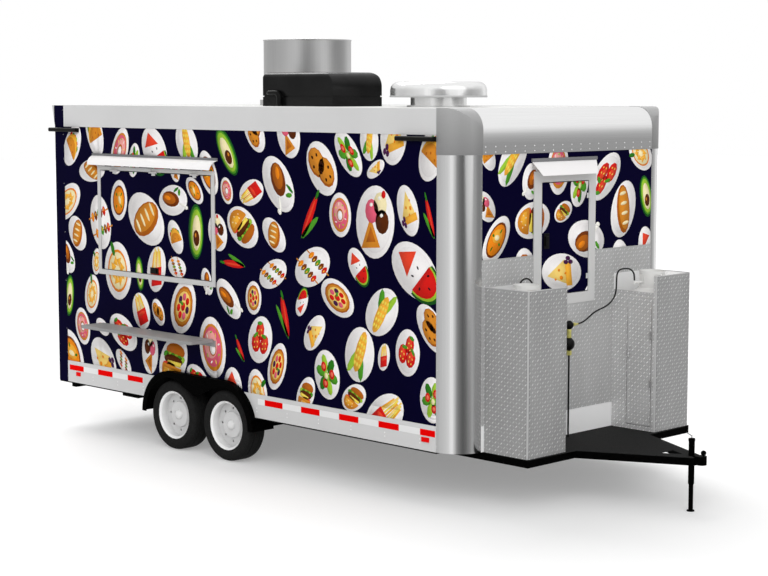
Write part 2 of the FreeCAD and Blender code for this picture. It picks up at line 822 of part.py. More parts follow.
def make_cabinets():
    """Two open-topped gas cabinets with a low inboard side that has a door in it."""
    t = cabinet_sheet
    near, far, top = cabinet_near, cabinet_far, base_z + cabinet_height
    r = cabinet_round
    outer = rounded_box(guard_x, cabinet_x, near, far, base_z, top, r)
    inner = rounded_box(guard_x + t, cabinet_x - t, near + t, far - t, base_z + t, top + 1, r - t)
    body = outer.cut(inner)
    body = body.cut(box(guard_x - 1, cabinet_x - r, near - 1, near + t + 1, base_z + cabinet_low, top + 1))
    gap = 5.0
    back, z0, z1 = cabinet_door_back, cabinet_door_z0, cabinet_door_z1
    body = body.cut(box(back - gap, cabinet_hinge_x + 3, near - 1, near + t + 1, z0 - gap, z1 + gap))
    door = box(back, cabinet_hinge_x - 3, near, near + t, z0, z1)
    middle = (z0 + z1) / 2 + 65
    door = door.fuse(box(back + 12, back + 30, near - 14, near, middle - 40, middle + 40))
    for z in (z0 + 330, z1 - 287):
        fixed, moving = turned_hinge("high_x", cabinet_hinge_x, near - barrel_radius, z, 60.0)
        body = body.fuse(fixed)
        door = door.fuse(moving)
    for side, b, d in (("left", body, door), ("right", mirrored(body), mirrored(door))):
        save("gas_cabinet_" + side, b)
        save("cabinet_door_" + side, d)


def make_cylinder(side, outlet_angle):
    """A gas cylinder with foot ring, dome, slotted collar, valve and upturned outlet."""
    centre = V(cylinder_x, side * cylinder_y, base_z + cabinet_sheet)
    floor = cabinet_sheet
    up = V(0, 0, 1)
    r = cylinder_radius
    shoulder, crown = shoulder_height - floor, tank_height - floor
    profile = [(0, 0), (r - 40, 0), (r - 40, 36), (r, 70), (r, shoulder), (r - 12, shoulder + 48),
               (r - 46, crown - 44), (collar_radius, crown - 14), (0, crown)]
    tank = faceted(profile, centre, up, V(1, 0, 0), tank_facets)
    low, tall = collar_low - floor, collar_top - collar_low
    ring = bar(centre + up * low, up, collar_radius, tall, tank_facets)
    ring = ring.cut(bar(centre + up * (low - 1), up, collar_radius - collar_sheet, tall + 2, tank_facets))
    for turn in (0, 90, 180):
        near, far = collar_radius - 20, collar_radius + 20
        slot = box(near, far, -slot_half, slot_half, slot_low - floor, slot_high - floor)
        slot.rotate(V(0, 0, 0), up, outlet_angle + turn)
        slot.translate(centre)
        ring = ring.cut(slot)
    out = V(math.cos(math.radians(outlet_angle)), math.sin(math.radians(outlet_angle)), 0)
    stem_low = tank_height - floor - 10
    stem = bar(centre + up * stem_low, up, 15, handwheel_height - floor - stem_low)
    wheel = bar(centre + up * (handwheel_height - floor), up, 27, 16)
    branch = centre + up * (outlet_height - floor)
    pipe = bar(branch, out, 9, outlet_reach)
    riser = bar(branch + out * outlet_reach - up * 11, up, 11, 25)
    return fuse([tank, ring, stem, wheel, pipe, riser])


cylinder_x = front_x + cylinder_setout
cylinder_y = (cabinet_near + cabinet_far) / 2
outlet_reach = 155.0
left_outlet = -114.0
right_outlet = 152.0


def make_regulators():
    """A two-stage regulator on its bracket, with brass fittings and the pipe down to the deck."""
    x, y = front_x + 60, -78.0
    up = V(0, 0, 1)
    pieces = [
        bar(V(x - 26, y, base_z + 850), V(1, 0, 0), 33, 52, 20),
        bar(V(x - 30, y, base_z + 706), V(1, 0, 0), 48, 60, 20),
        bar(V(x, y, base_z + 620), up, 15, 200),
        bar(V(x, y - 78, base_z + 850), V(0, 1, 0), 9, 156),
        bar(V(x, y, base_z), up, 7, 640, 8),
        box(guard_x, x - 26, y - 22, y + 22, base_z + 690, base_z + 860),
    ]
    save("regulators", fuse(pieces))


def tube_along(points, radius):
    """A many-sided tube along straight runs joined by tangent arcs; prints the arcs' radii."""
    runs = [b - a for a, b in zip(points, points[1:])]
    edges = []
    start = points[0]
    radii = []
    for i in range(1, len(points) - 1):
        before, after = runs[i - 1], runs[i]
        shorter = min(before.Length, after.Length)
        turn = before.getAngle(after)
        back = 0.45 * shorter
        radii.append(back / math.tan(turn / 2))
        u, w = V(before).normalize(), V(after).normalize()
        a, b = points[i] - u * back, points[i] + w * back
        centre = points[i] + (w - u).normalize() * (radii[-1] / math.cos(turn / 2))
        middle = centre + (points[i] - centre).normalize() * radii[-1]
        edges.append(Part.makeLine(start, a))
        edges.append(Part.Arc(a, middle, b).toShape())
        start = b
    edges.append(Part.makeLine(start, points[-1]))
    wire = Part.Wire(edges)
    level = V(0, 0, 1)
    across = level.cross(runs[0]).normalize()
    corners = []
    for i in range(hose_facets + 1):
        angle = 2 * math.pi * i / hose_facets
        corners.append(points[0] + across * (radius * math.cos(angle)) + level * (radius * math.sin(angle)))
    tube = wire.makePipeShell([Part.makePolygon(corners)], True, True)
    expected = hose_facets / 2 * math.sin(2 * math.pi / hose_facets) * radius**2 * wire.Length
    share = round(tube.Volume / expected, 3)
    print("hose", round(wire.Length), "volume share", share, "radii", *map(round, radii))
    return tube


def wall_point(x, y, z):
    return V(front_x + x, y, base_z + z)


left_hose = [(60, 0.2, 850), (60, 52, 850), (65, 115, 872), (70, 180, 912), (76, 245, 938), (84, 310, 953),
             (97, 366, 982), (113, 400, 1030), (124, 407, 1088), (129, 401, 1148), (131, 405, 1204),
             (134, 436, 1242), (138, 490, 1250), (142, 545, 1239), (145, 583, 1210), (146, 600.4, 1172),
             (146, 600.4, 1142.2)]
right_hose = [(60, -156.2, 850), (60, -208, 850), (64, -270, 869), (68, -332, 905), (72, -390, 945),
              (77, -440, 992), (82, -482, 1045), (85, -514, 1100), (86.5, -531, 1150), (86, -534.5, 1200),
              (82, -574, 1239), (77, -629.5, 1239), (72.1, -669.2, 1200), (72.1, -669.2, 1142.2)]


def make_hoses():
    save("gas_hose_left", tube_along([wall_point(*p) for p in left_hose], hose_radius))
    save("gas_hose_right", tube_along([wall_point(*p) for p in right_hose], hose_radius))


# Awnings, shelf, lights and roof equipment


def awning(x0, x1, z_top, reach, drop):
    """A bent sheet with a wall flange, a sloped blade and closed ends, in a wall's own frame."""
    t = 4.0
    flange_up = 30.0
    sheet = [(0, z_top + flange_up), (-t, z_top + flange_up), (-t, z_top), (-reach, z_top - drop),
             (-reach, z_top - drop - t * 1.4), (0, z_top - t * 1.4)]
    blade = face_of([V(x0, y, z) for y, z in sheet]).extrude(V(x1 - x0, 0, 0))
    low = z_top - drop * 2
    under = [(-t, z_top - t * 2.4 - 4), (-t, low), (-reach - 5, low), (-reach - 5, z_top - drop - 9)]
    hollow = face_of([V(x0 + t, y, z) for y, z in under]).extrude(V(x1 - x0 - 2 * t, 0, 0))
    return blade.cut(hollow)


def make_awnings():
    rear_end, front_end = window_x0 - awning_rear, window_x1 + awning_front
    over_window = on_right(awning(rear_end, front_end, window_z1 + awning_lift, awning_reach, awning_fall))
    right_end, left_end = front_outer[0] - hood_right, front_outer[1] + hood_left
    over_door = on_front(awning(right_end, left_end, front_outer[3] + hood_lift, hood_reach, hood_fall))
    save("window_awning", over_window)
    save("front_awning", over_door)


shelf_x0 = window_x0 + shelf_rear_inset
shelf_x1 = window_x1 - shelf_front_inset
shelf_z = base_z + shelf_height


def make_shelf():
    """The serving shelf, hinged along the wall so that it folds down."""
    ledge = box(shelf_x0, shelf_x1, -ledger, 0, shelf_z - 40, shelf_z + 10)
    y = -ledger - barrel_radius
    slab = box(shelf_x0, shelf_x1, y - shelf_depth, y - barrel_radius - 2, shelf_z, shelf_z + shelf_thick)
    front = [e for e in slab.Edges if abs(e.CenterOfMass.y - (y - shelf_depth)) < 1 and e.Length < 100]
    slab = slab.makeFillet(20, front)
    for place in (shelf_x0 + 150, (shelf_x0 + shelf_x1) / 2, shelf_x1 - 150):
        fixed, moving = hinge(120.0)
        fixed.rotate(V(0, 0, 0), V(0, 1, 0), -90)
        moving = shelf_knuckle(120.0)
        fixed.translate(V(place, y, shelf_z))
        moving.translate(V(place, y, shelf_z))
        ledge = ledge.fuse(fixed)
        slab = slab.fuse(moving)
    save("shelf_ledger", on_right(ledge))
    save("serving_shelf", on_right(slab))


def shelf_knuckle(length):
    """The moving knuckle about the x axis, with its leaf flat under the shelf."""
    reach = length / 2 - 2 * knuckle_gap
    barrel = bar(V(-reach / 2, 0, 0), V(1, 0, 0), barrel_radius, reach, barrel_facets)
    leaf = box(-reach / 2, reach / 2, -40, 0, 0, leaf_thick)
    bore = rod(V(-reach / 2, 0, 0), V(1, 0, 0), pin_radius + pin_clearance, reach)
    return barrel.fuse(leaf).cut(bore)


def make_lights():
    """Bar lights under the top bands, marker lamps on the skirts and lamps at the rear."""
    bars = []
    light_top = band_z - light_below_band
    for x0, x1 in ((rear_x - 41, rear_x + 365), (front_x - 610, front_x - 234)):
        housing = box(x0, x1, half_w, half_w + light_reach, light_top - light_tall, light_top)
        rim_y = half_w + light_reach
        outer_edges = [e for e in housing.Edges if abs(e.CenterOfMass.y - rim_y) < 1 and e.Length > 100]
        bars.append(housing.makeFillet(15, outer_edges))
    bars += [mirrored(b) for b in bars]
    save("bar_lights", Part.makeCompound(bars))
    face = half_w + skirt_proud
    lamps = []
    for x0, x1 in ((rear_x + 270, rear_x + 330), (front_x - 367, front_x - 292)):
        lamps.append(box(x0, x1, face, face + 8, base_z + 64, base_z + 98))
    lamps.append(box(rear_x - 30, rear_x, half_w - 330, half_w - 150, base_z + 60, base_z + 130))
    lamps += [mirrored(p) for p in lamps]
    save("lamps", Part.makeCompound(lamps))


def make_exhaust():
    """The open round stack of the kitchen exhaust, standing on its square curb."""
    drum = V(drum_x, drum_side, roof_z)
    h = drum_curb / 2
    curb = box(drum.x - h, drum.x + h, drum.y - h, drum.y + h, roof_z, roof_z + curb_height)
    band = rod(drum, V(0, 0, 1), drum_radius, drum_height)
    inside = rod(drum + V(0, 0, curb_height + 6), V(0, 0, 1), drum_radius - drum_sheet, drum_height)
    save("exhaust_stack", fuse([curb, band.cut(inside)]))


def cushion_outline(lo, hi, z0, z1, low_round, high_round, point):
    """A wire round a level base, two uprights and a top whose corners are round."""
    a, b = low_round, high_round
    ka, kb = a * (1 - math.sqrt(0.5)), b * (1 - math.sqrt(0.5))
    edges = [
        Part.makeLine(point(hi, z0), point(hi, z1 - b)),
        Part.Arc(point(hi, z1 - b), point(hi - kb, z1 - kb), point(hi - b, z1)).toShape(),
        Part.makeLine(point(hi - b, z1), point(lo + a, z1)),
        Part.Arc(point(lo + a, z1), point(lo + ka, z1 - ka), point(lo, z1 - a)).toShape(),
        Part.makeLine(point(lo, z1 - a), point(lo, z0)),
        Part.makeLine(point(lo, z0), point(hi, z0)),
    ]
    return Part.Face(Part.Wire(edges))


def make_cooler():
    """The air conditioner: a low pan and a moulded shroud over it, rounder at its front end."""
    x0, x1 = cooler_x - cooler_length / 2, cooler_x + cooler_length / 2
    y0, y1 = cooler_side - cooler_width / 2, cooler_side + cooler_width / 2
    z0, z1 = roof_z, roof_z + cooler_height
    seam = roof_z + cooler_pan
    inset = cooler_seam
    pan = box(x0, x1, y0, y1, z0, seam)
    neck = box(x0 + inset, x1 - inset, y0 + inset, y1 - inset, seam, seam + inset)
    side = cushion_outline(x0, x1, seam + inset, z1, cooler_round, cooler_nose, lambda u, w: V(u, y0, w))
    end = cushion_outline(y0, y1, seam + inset, z1, cooler_round, cooler_round, lambda u, w: V(x0, u, w))
    shroud = side.extrude(V(0, cooler_width, 0)).common(end.extrude(V(cooler_length, 0, 0)))
    save("air_conditioner", fuse([pan, neck, shroud]))


def make_vent():
    """The mushroom vent: a round neck under a wide cap with a rolled top edge."""
    r, n, q = vent_cap_radius, vent_neck_radius, vent_round
    low = vent_height - vent_rim
    top = vent_height
    bend = []
    for degrees in (90, 67.5, 45, 22.5, 0):
        angle = math.radians(90 - degrees)
        bend.append((r - q + q * math.cos(angle), top - q + q * math.sin(angle)))
    outline = [(0, 0), (n + 30, 0), (n + 30, 12), (n, 12), (n, low), (r, low)] + bend + [(0, top)]
    centre = V(vent_x, 0, roof_z)
    save("roof_vent", faceted(outline, centre, V(0, 0, 1), V(1, 0, 0), vent_facets))


def make_openings():
    """The framed doors and their catches."""
    save("window_frame", window_ring)
    save("serving_hatch", window_door)
    save("hatch_latch", window_latch)
    save("front_frame", front_ring)
    save("front_door", front_door)
    save("front_latch", front_latch)
    save("entrance_frame", rear_ring)
    save("entrance_door", rear_door)
    save("entrance_handle", rear_handle)


def make_all():
    os.makedirs("parts", exist_ok=True)
    make_body_panels()
    make_stone_guard()
    make_openings()
    make_floor()
    make_wheel_boxes()
    make_rails()
    make_cross_members()
    make_tongue()
    make_deck()
    make_coupler()
    make_jack()
    make_axle("axle_front", wheel_front_x)
    make_axle("axle_rear", wheel_rear_x)
    for name, x in (("front", wheel_front_x), ("rear", wheel_rear_x)):
        make_wheel(name + "_left", x, 1)
        make_wheel(name + "_right", x, -1)
    make_fenders()
    make_cabinets()
    tanks = [make_cylinder(1, left_outlet), make_cylinder(-1, right_outlet)]
    save("gas_cylinders", Part.makeCompound(tanks))
    make_regulators()
    make_hoses()
    make_awnings()
    make_shelf()
    make_lights()
    make_exhaust()
    make_cooler()
    make_vent()


make_all()
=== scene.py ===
# %% [markdown]
# # A tandem concession trailer, dressed for a studio picture
# The trailer's solids come from its construction model: walls, doors, wheels,
# tongue and roof equipment, each at its real place. This lesson gives them
# their finishes and adds what a solid model leaves out, such as the printed
# wrap, rivets, tape, tyre tread and hoses.
# Everything is in metres: +X is forward, +Y is left, +Z is up, and the ground
# is at Z = 0.

# %% Load the frame
import math
import random

import bmesh
import bpy
from mathutils import Matrix, Vector


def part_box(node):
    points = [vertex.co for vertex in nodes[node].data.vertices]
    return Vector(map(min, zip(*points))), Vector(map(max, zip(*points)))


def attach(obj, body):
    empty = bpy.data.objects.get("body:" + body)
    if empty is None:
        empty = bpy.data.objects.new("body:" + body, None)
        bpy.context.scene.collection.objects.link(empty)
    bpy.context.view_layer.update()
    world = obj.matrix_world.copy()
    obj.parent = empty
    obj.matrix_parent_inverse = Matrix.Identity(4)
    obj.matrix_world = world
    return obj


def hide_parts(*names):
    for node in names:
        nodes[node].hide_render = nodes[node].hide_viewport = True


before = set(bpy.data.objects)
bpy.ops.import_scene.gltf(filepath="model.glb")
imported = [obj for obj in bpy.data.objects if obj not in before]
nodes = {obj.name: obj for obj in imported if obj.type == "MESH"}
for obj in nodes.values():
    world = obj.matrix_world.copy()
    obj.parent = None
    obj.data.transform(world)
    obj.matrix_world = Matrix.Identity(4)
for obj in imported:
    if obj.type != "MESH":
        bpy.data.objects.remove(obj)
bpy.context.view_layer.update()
print("solids in the frame:", len(nodes))

# %% [markdown]
# ## Places that the finishes need
# A real sign maker measures the panels before cutting the vinyl. In the same
# way the walls, the band and the skirts are measured on the solids, so that
# every added piece moves with them if the trailer is built longer or taller.

# %% Measure the body
wall_low, wall_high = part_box("wall_right")
half_width = -wall_low.y
rear_trim_x, post_x = wall_low.x, wall_high.x
skirt_top, band_low = wall_low.z, wall_high.z
front_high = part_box("wall_front")[1]
front_x = front_high.x
front_half = front_high.y
cap_low = front_high.z
rear_low, rear_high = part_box("wall_rear")
rear_x = rear_low.x
rear_half = rear_high.y
sill_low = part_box("end_sills")[0].z
roof_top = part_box("roof_panel")[1].z
guard_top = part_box("stone_guard")[1].z
print("body from x", round(rear_x, 3), "to", round(front_x, 3), "and half width", round(half_width, 3))

# %% [markdown]
# ## Camera
# The picture was taken from in front of the right corner, a little above eye
# level. A long lens keeps the walls' edges nearly parallel. It could be aimed
# with a tracking target, but a written yaw and pitch are easier to tune.

# %% Camera
camera_place = (7.457, -10.505, 2.993)
camera_yaw = 135.209
camera_pitch = -6.212
camera_lens = 84.46

camera_data = bpy.data.cameras.new("studio_camera")
camera_data.lens = camera_lens
camera_data.sensor_width = 36
camera = bpy.data.objects.new("studio_camera", camera_data)
camera.location = camera_place
camera.rotation_euler = (math.radians(90 + camera_pitch), 0, math.radians(camera_yaw - 90))
scene = bpy.context.scene
scene.collection.objects.link(camera)
scene.camera = camera
scene.view_settings.view_transform = "Standard"
print("camera", camera_place, "lens", camera_lens)

# %% [markdown]
# ## Two helpers for materials
# Colours are written as sRGB hex values, the way that a paint shop gives them,
# and Blender wants linear light. One helper turns one into the other. The
# other adds a node, sets it and links it, so each material reads as a recipe.

# %% Colour and node helpers
def linear(code):
    """An sRGB hex colour, such as #D2D2D2, as linear red, green, blue and alpha."""
    channels = [int(code[i : i + 2], 16) / 255 for i in (1, 3, 5)]
    return tuple(c / 12.92 if c <= 0.04045 else ((c + 0.055) / 1.055) ** 2.4 for c in channels) + (1.0,)


def add(tree, kind, inputs=None, **settings):
    """Add one node; an input is a value, or another node whose first output it takes."""
    node = tree.nodes.new(kind)
    for name, value in settings.items():
        setattr(node, name, value)
    for socket, value in (inputs or {}).items():
        if isinstance(value, bpy.types.Node):
            value = value.outputs[0]
        if isinstance(value, bpy.types.NodeSocket):
            tree.links.new(value, node.inputs[socket])
        else:
            node.inputs[socket].default_value = value
    return node


print("mid grey #808080 is", round(linear("#808080")[0], 3), "in linear light")

# %% [markdown]
# ## Studio
# The photograph stands on white with a soft shadow that reaches a little way
# towards the viewer. A white world alone would make polished metal look like
# paper, because metal only shows what stands round it. Photographers put
# dark and bright cards round it. Here the world itself is that ring of cards:
# only mirror rays see it, the camera sees plain white, and matt surfaces get
# even light. Each card is a direction in degrees and a grey, and a little
# above eye level the ring fades to a white ceiling.

# %% World with its ring of cards
sky_strength = 0.50
card_foot, card_top = 0.04, 0.62
studio_cards = [  # azimuth in degrees, grey
    (-180, "#C8C8C8"), (-156, "#BEBEBE"), (-140, "#B8B8B8"), (-128, "#BEBEBE"), (-116, "#C6C6C6"),
    (-100, "#D0D0D0"), (-84, "#DCDCDC"), (-72, "#FAFAFA"), (-66, "#F0F0F0"), (-60, "#CACACA"),
    (-50, "#8B8B8B"), (-40, "#707070"), (-30, "#5A5A5A"), (-20, "#646464"), (-8, "#7E7E7E"),
    (6, "#A6A6A6"), (16, "#A2A2A2"), (27, "#888888"), (36, "#828282"), (48, "#969696"),
    (62, "#A2A2A2"), (76, "#C2C2C2"), (92, "#F2F2F2"), (116, "#DADADA"), (150, "#D6D6D6"), (180, "#C8C8C8"),
]

world = bpy.data.worlds.new("studio")
world.use_nodes = True
scene.world = world
tree = world.node_tree
tree.nodes.clear()
rays = add(tree, "ShaderNodeLightPath")
toward = add(tree, "ShaderNodeTexCoord")
parts = add(tree, "ShaderNodeSeparateXYZ", {0: toward.outputs["Generated"]})
azimuth = add(tree, "ShaderNodeMath", {0: parts.outputs["Y"], 1: parts.outputs["X"]}, operation="ARCTAN2")
turned = add(tree, "ShaderNodeMapRange", {"Value": azimuth, "From Min": -math.pi, "From Max": math.pi})
ring = add(tree, "ShaderNodeValToRGB", {0: turned})
ring.color_ramp.interpolation = "EASE"
stops = ring.color_ramp.elements
for i, (degrees, code) in enumerate(studio_cards):
    place = (degrees + 180) / 360
    stop = stops[i] if i < 2 else stops.new(place)
    stop.position = place
    stop.color = linear(code)
height = add(tree, "ShaderNodeMapRange", {"Value": parts.outputs["Z"], "From Min": card_foot,
                                          "From Max": card_top})
mirrored_room = add(tree, "ShaderNodeMix", {0: height, 6: ring, 7: linear("#F6F6F6")}, data_type="RGBA")
seen = add(tree, "ShaderNodeMix", {0: rays.outputs["Is Glossy Ray"], 6: [sky_strength] * 3 + [1],
                                   7: mirrored_room.outputs[2]}, data_type="RGBA")
camera_white = add(tree, "ShaderNodeMix", {0: rays.outputs["Is Camera Ray"], 6: seen.outputs[2],
                                           7: (1, 1, 1, 1)}, data_type="RGBA")
glass_white = add(tree, "ShaderNodeMix", {0: rays.outputs["Is Transmission Ray"], 6: camera_white.outputs[2],
                                          7: (1, 1, 1, 1)}, data_type="RGBA")
back = add(tree, "ShaderNodeBackground", {"Color": glass_white.outputs[2], "Strength": 1.0})
add(tree, "ShaderNodeOutputWorld", {"Surface": back})
print("studio cards:", len(studio_cards))

# %% [markdown]
# ## Floor and lamps
# The floor is pale and matt. For the camera it also glows a little, so that it
# melts into the white background and keeps only the shadow. Mirror rays pass
# through it to the ring of cards, so that upright metal looks the same down
# to its foot. One soft lamp stands by the camera and lights both visible walls
# alike, a weaker one fills the nose, and one high behind the trailer throws
# the shadow forward.

# %% Floor and lamps
floor_half = 60
floor_glow = 0.26

floor_mesh = bmesh.new()
bmesh.ops.create_grid(floor_mesh, x_segments=1, y_segments=1, size=floor_half)
floor_data = bpy.data.meshes.new("studio_floor")
floor_mesh.to_mesh(floor_data)
floor_mesh.free()
floor = bpy.data.objects.new("studio_floor", floor_data)
scene.collection.objects.link(floor)

paper = bpy.data.materials.new("studio_paper")
paper.use_nodes = True
tree = paper.node_tree
tree.nodes.clear()
rays = add(tree, "ShaderNodeLightPath")
clear = add(tree, "ShaderNodeMath", {0: rays.outputs["Is Camera Ray"],
                                     1: rays.outputs["Is Transmission Ray"]}, operation="MAXIMUM")
glow = add(tree, "ShaderNodeMath", {0: clear, 1: floor_glow}, operation="MULTIPLY")
matt = add(tree, "ShaderNodeBsdfDiffuse", {"Color": linear("#E6E6E6")})
lit = add(tree, "ShaderNodeEmission", {"Color": (1, 1, 1, 1), "Strength": glow})
both = add(tree, "ShaderNodeAddShader", {0: matt, 1: lit})
gone = add(tree, "ShaderNodeBsdfTransparent")
unseen = add(tree, "ShaderNodeMixShader", {0: rays.outputs["Is Glossy Ray"], 1: both, 2: gone})
add(tree, "ShaderNodeOutputMaterial", {"Surface": unseen})
floor_data.materials.append(paper)


def aim_lamp(name, strength, spread, toward_azimuth, toward_height):
    """A far soft lamp; the angles say where it stands, seen from the trailer."""
    lamp_data = bpy.data.lights.new(name, "SUN")
    lamp_data.energy = strength
    lamp_data.angle = math.radians(spread)
    lamp = bpy.data.objects.new(name, lamp_data)
    lamp.rotation_euler = (math.radians(90 - toward_height), 0, math.radians(toward_azimuth + 90))
    scene.collection.objects.link(lamp)
    return lamp


aim_lamp("lamp_by_camera", 1.05, 50, -48, 30).visible_glossy = False
aim_lamp("lamp_ahead", 0.45, 60, -8, 24)
aim_lamp("lamp_behind", 1.9, 40, 158, 50)

# %% [markdown]
# ## A starting point for every material
# Each finish below is one Principled shader with its own recipe. The starter
# only makes the shader and sets what is the same all over the surface.

# %% Material starter
def finish_named(name, **constants):
    """A new material; gives it, its node tree and its shader."""
    material = bpy.data.materials.new(name)
    material.use_nodes = True
    tree = material.node_tree
    tree.nodes.clear()
    shader = add(tree, "ShaderNodeBsdfPrincipled")
    for socket, value in constants.items():
        shader.inputs[socket.replace("_", " ")].default_value = value
    add(tree, "ShaderNodeOutputMaterial", {"Surface": shader})
    return material, tree, shader


def dress(material, *names):
    """Give solids of the frame this material."""
    for name in names:
        data = nodes[name].data
        data.materials.clear()
        data.materials.append(material)


print("solids to dress:", len(nodes))

# %% [markdown]
# What varies over a surface comes from a point's place or from a noise, and
# is fed into the shader's sockets at the end. No real surface has one exact
# colour, so most recipes drift between two shades of it. Object coordinates
# are used all through: they are metres, and they don't slide on a door that
# swings.

# %% Places, drifting shades and sockets
def object_coordinates(tree, scale=(1, 1, 1)):
    """Object coordinates in metres, stretched by scale."""
    place = add(tree, "ShaderNodeTexCoord")
    return add(tree, "ShaderNodeMapping", {"Vector": place.outputs["Object"], "Scale": scale})


def position(tree):
    """A point's own x, y and z in metres."""
    place = add(tree, "ShaderNodeTexCoord")
    return add(tree, "ShaderNodeSeparateXYZ", {0: place.outputs["Object"]})


def clouded(tree, dark, light, span=(0.0, 1.0), stretch=(1, 1, 1), **noise):
    """A noise, and a colour that goes from dark to light as the noise crosses a span."""
    cloud = add(tree, "ShaderNodeTexNoise", {"Vector": object_coordinates(tree, stretch), **noise})
    colour = add(tree, "ShaderNodeValToRGB", {0: cloud.outputs["Fac"]})
    for stop, share, code in zip(colour.color_ramp.elements, span, (dark, light)):
        stop.position = share
        stop.color = linear(code)
    return cloud, colour


def feed(tree, shader, **sources):
    """Link nodes, or their outputs, to the shader's sockets of those names."""
    for socket, source in sources.items():
        output = source.outputs[0] if isinstance(source, bpy.types.Node) else source
        tree.links.new(output, shader.inputs[socket.replace("_", " ")])


print("recipes can start")

# %% [markdown]
# ## Printed vinyl and the white inner walls
# The trailer is wrapped in printed vinyl film, laid over flat aluminium
# sheet. Laminated film is smooth, with a faint orange peel that only shows in
# gloss. Inside, the same walls carry white washable panels. One material can
# serve both faces, because a point's place says on which side of the wall it
# lies: a mask from the coordinates picks navy outside and white inside. A
# second mask finds the hinge barrels, which stand proud of the film and are
# left as bare grey metal.

# %% Vinyl wrap
lining_depth = 0.02
barrel_rise = 0.0095
orange_peel = 0.006


def outside_mask(tree, skin):
    """1 outside a box that lies this far inside the trailer's outer faces, and 0 within it."""
    xyz = position(tree)
    across = add(tree, "ShaderNodeMath", {0: xyz.outputs["Y"]}, operation="ABSOLUTE")
    side = add(tree, "ShaderNodeMath", {0: across, 1: half_width - skin}, operation="GREATER_THAN")
    ahead = add(tree, "ShaderNodeMath", {0: xyz.outputs["X"], 1: front_x - skin}, operation="GREATER_THAN")
    behind = add(tree, "ShaderNodeMath", {0: xyz.outputs["X"], 1: rear_x + skin}, operation="LESS_THAN")
    ends = add(tree, "ShaderNodeMath", {0: ahead, 1: behind}, operation="MAXIMUM")
    return add(tree, "ShaderNodeMath", {0: side, 1: ends}, operation="MAXIMUM")


vinyl, tree, shader = finish_named("printed_vinyl_film", Roughness=0.42, Specular_IOR_Level=0.02)
grain = add(tree, "ShaderNodeTexNoise", {"Vector": object_coordinates(tree), "Scale": 1 / orange_peel,
                                         "Detail": 2.0})
navy = clouded(tree, "#02001E", "#040128", Scale=1.4, Detail=3.0)[1]
sheet = add(tree, "ShaderNodeMix", {0: outside_mask(tree, lining_depth), 6: linear("#ECECEA"), 7: navy},
            data_type="RGBA")
skin = add(tree, "ShaderNodeMix", {0: outside_mask(tree, -barrel_rise), 6: sheet.outputs[2],
                                   7: linear("#CACACA")}, data_type="RGBA")
peel = add(tree, "ShaderNodeBump", {"Height": grain.outputs["Fac"], "Strength": 0.12, "Distance": 0.0003})
feed(tree, shader, Base_Color=skin.outputs[2], Normal=peel)
dress(vinyl, "wall_left", "wall_right", "wall_front", "wall_rear", "serving_hatch", "front_door",
      "entrance_door", "rear_frame")
print("vinyl peel", orange_peel * 1000, "mm")

# %% [markdown]
# ## Ink on the film
# The pictures on the wrap are printed on the same film, so their finish is
# the film's. Their colours are carried by the faces themselves in an
# attribute named ink, like spot colours. An image would be simpler, but a
# shape keeps a clean edge at any distance. A fine noise thins the ink a
# little, as a printer's screen does.

# %% Printing ink
screen_grain = 0.018

ink, tree, shader = finish_named("printing_ink", Roughness=0.42, Specular_IOR_Level=0.02)
spot = add(tree, "ShaderNodeAttribute", attribute_name="ink", attribute_type="GEOMETRY")
screen = add(tree, "ShaderNodeTexNoise", {"Vector": object_coordinates(tree), "Scale": 1 / screen_grain,
                                          "Detail": 4.0})
density = add(tree, "ShaderNodeMapRange", {"Value": screen.outputs["Fac"], "From Min": 0.3, "From Max": 0.7,
                                           "To Min": 0.95, "To Max": 1.0})
toned = add(tree, "ShaderNodeHueSaturation", {"Color": spot.outputs["Color"], "Value": density})
feed(tree, shader, Base_Color=toned)
print("ink reads the attribute", spot.attribute_name)

# %% [markdown]
# ## Painted aluminium
# The long band under the roof, the skirts and the frames are folded aluminium
# with a baked paint, which the eye reads as an even pale grey with a very
# soft gloss. A perfectly even colour looks like plastic, so the paint is
# broken by a faint cloud and a fine grain in its bump. The same recipe gives
# the roof's coating, the shelf, the awnings and the rivets their own shades.

# %% Painted aluminium in eight shades
paint_grain = 0.0025


def painted_sheet(name, light, dark, roughness, gloss):
    """Baked paint on sheet metal, drifting between two near shades."""
    material, tree, shader = finish_named(name, Roughness=roughness, Specular_IOR_Level=gloss)
    colour = clouded(tree, dark, light, (0.3, 0.7), Scale=1.1, Detail=4.0)[1]
    grain = add(tree, "ShaderNodeTexNoise", {"Vector": object_coordinates(tree), "Scale": 1 / paint_grain})
    bump = add(tree, "ShaderNodeBump", {"Height": grain.outputs["Fac"], "Strength": 0.08, "Distance": 0.0002})
    feed(tree, shader, Base_Color=colour, Normal=bump)
    return material


# Baked paint is even and only softly glossy.
band_paint = painted_sheet("grey_baked_paint", "#DADADA", "#D2D2D2", 0.45, 0.2)
# The kick panel is painted near white, lighter than its paint: painted light that takes away the shade
# between the gas cabinets.
kick_lit_paint = painted_sheet("kick_panel_lit_paint", "#FBFBFB", "#F4F4F4", 0.5, 0.2)
# Powder coat melts to a thicker, rounder film, so white blades glow a little.
white_paint = painted_sheet("white_powder_coat", "#FFFDFD", "#FCFAFA", 0.3, 0.35)
# The shelf's paint is darker than the band's grey: painted shade, for the shade that the shelf lies in.
shelf_shaded_paint = painted_sheet("shelf_shaded_powder_coat", "#9C9C9C", "#949494", 0.42, 0.15)
# Anodising leaves a satin grey, warmer than bare metal.
frame_paint = painted_sheet("door_frame_anodising", "#CECCCA", "#C6C7C7", 0.38, 0.3)
cassette_paint = painted_sheet("grey_awning_rail", "#7E7E80", "#747476", 0.5, 0.2)
# Rivet heads are so small that they read as bright dots: they are painted near white, a painted highlight for
# the glint on each small dome.
rivet_highlight_paint = painted_sheet("rivet_head_painted_highlight", "#FCFCFC", "#F4F4F4", 0.3, 0.5)
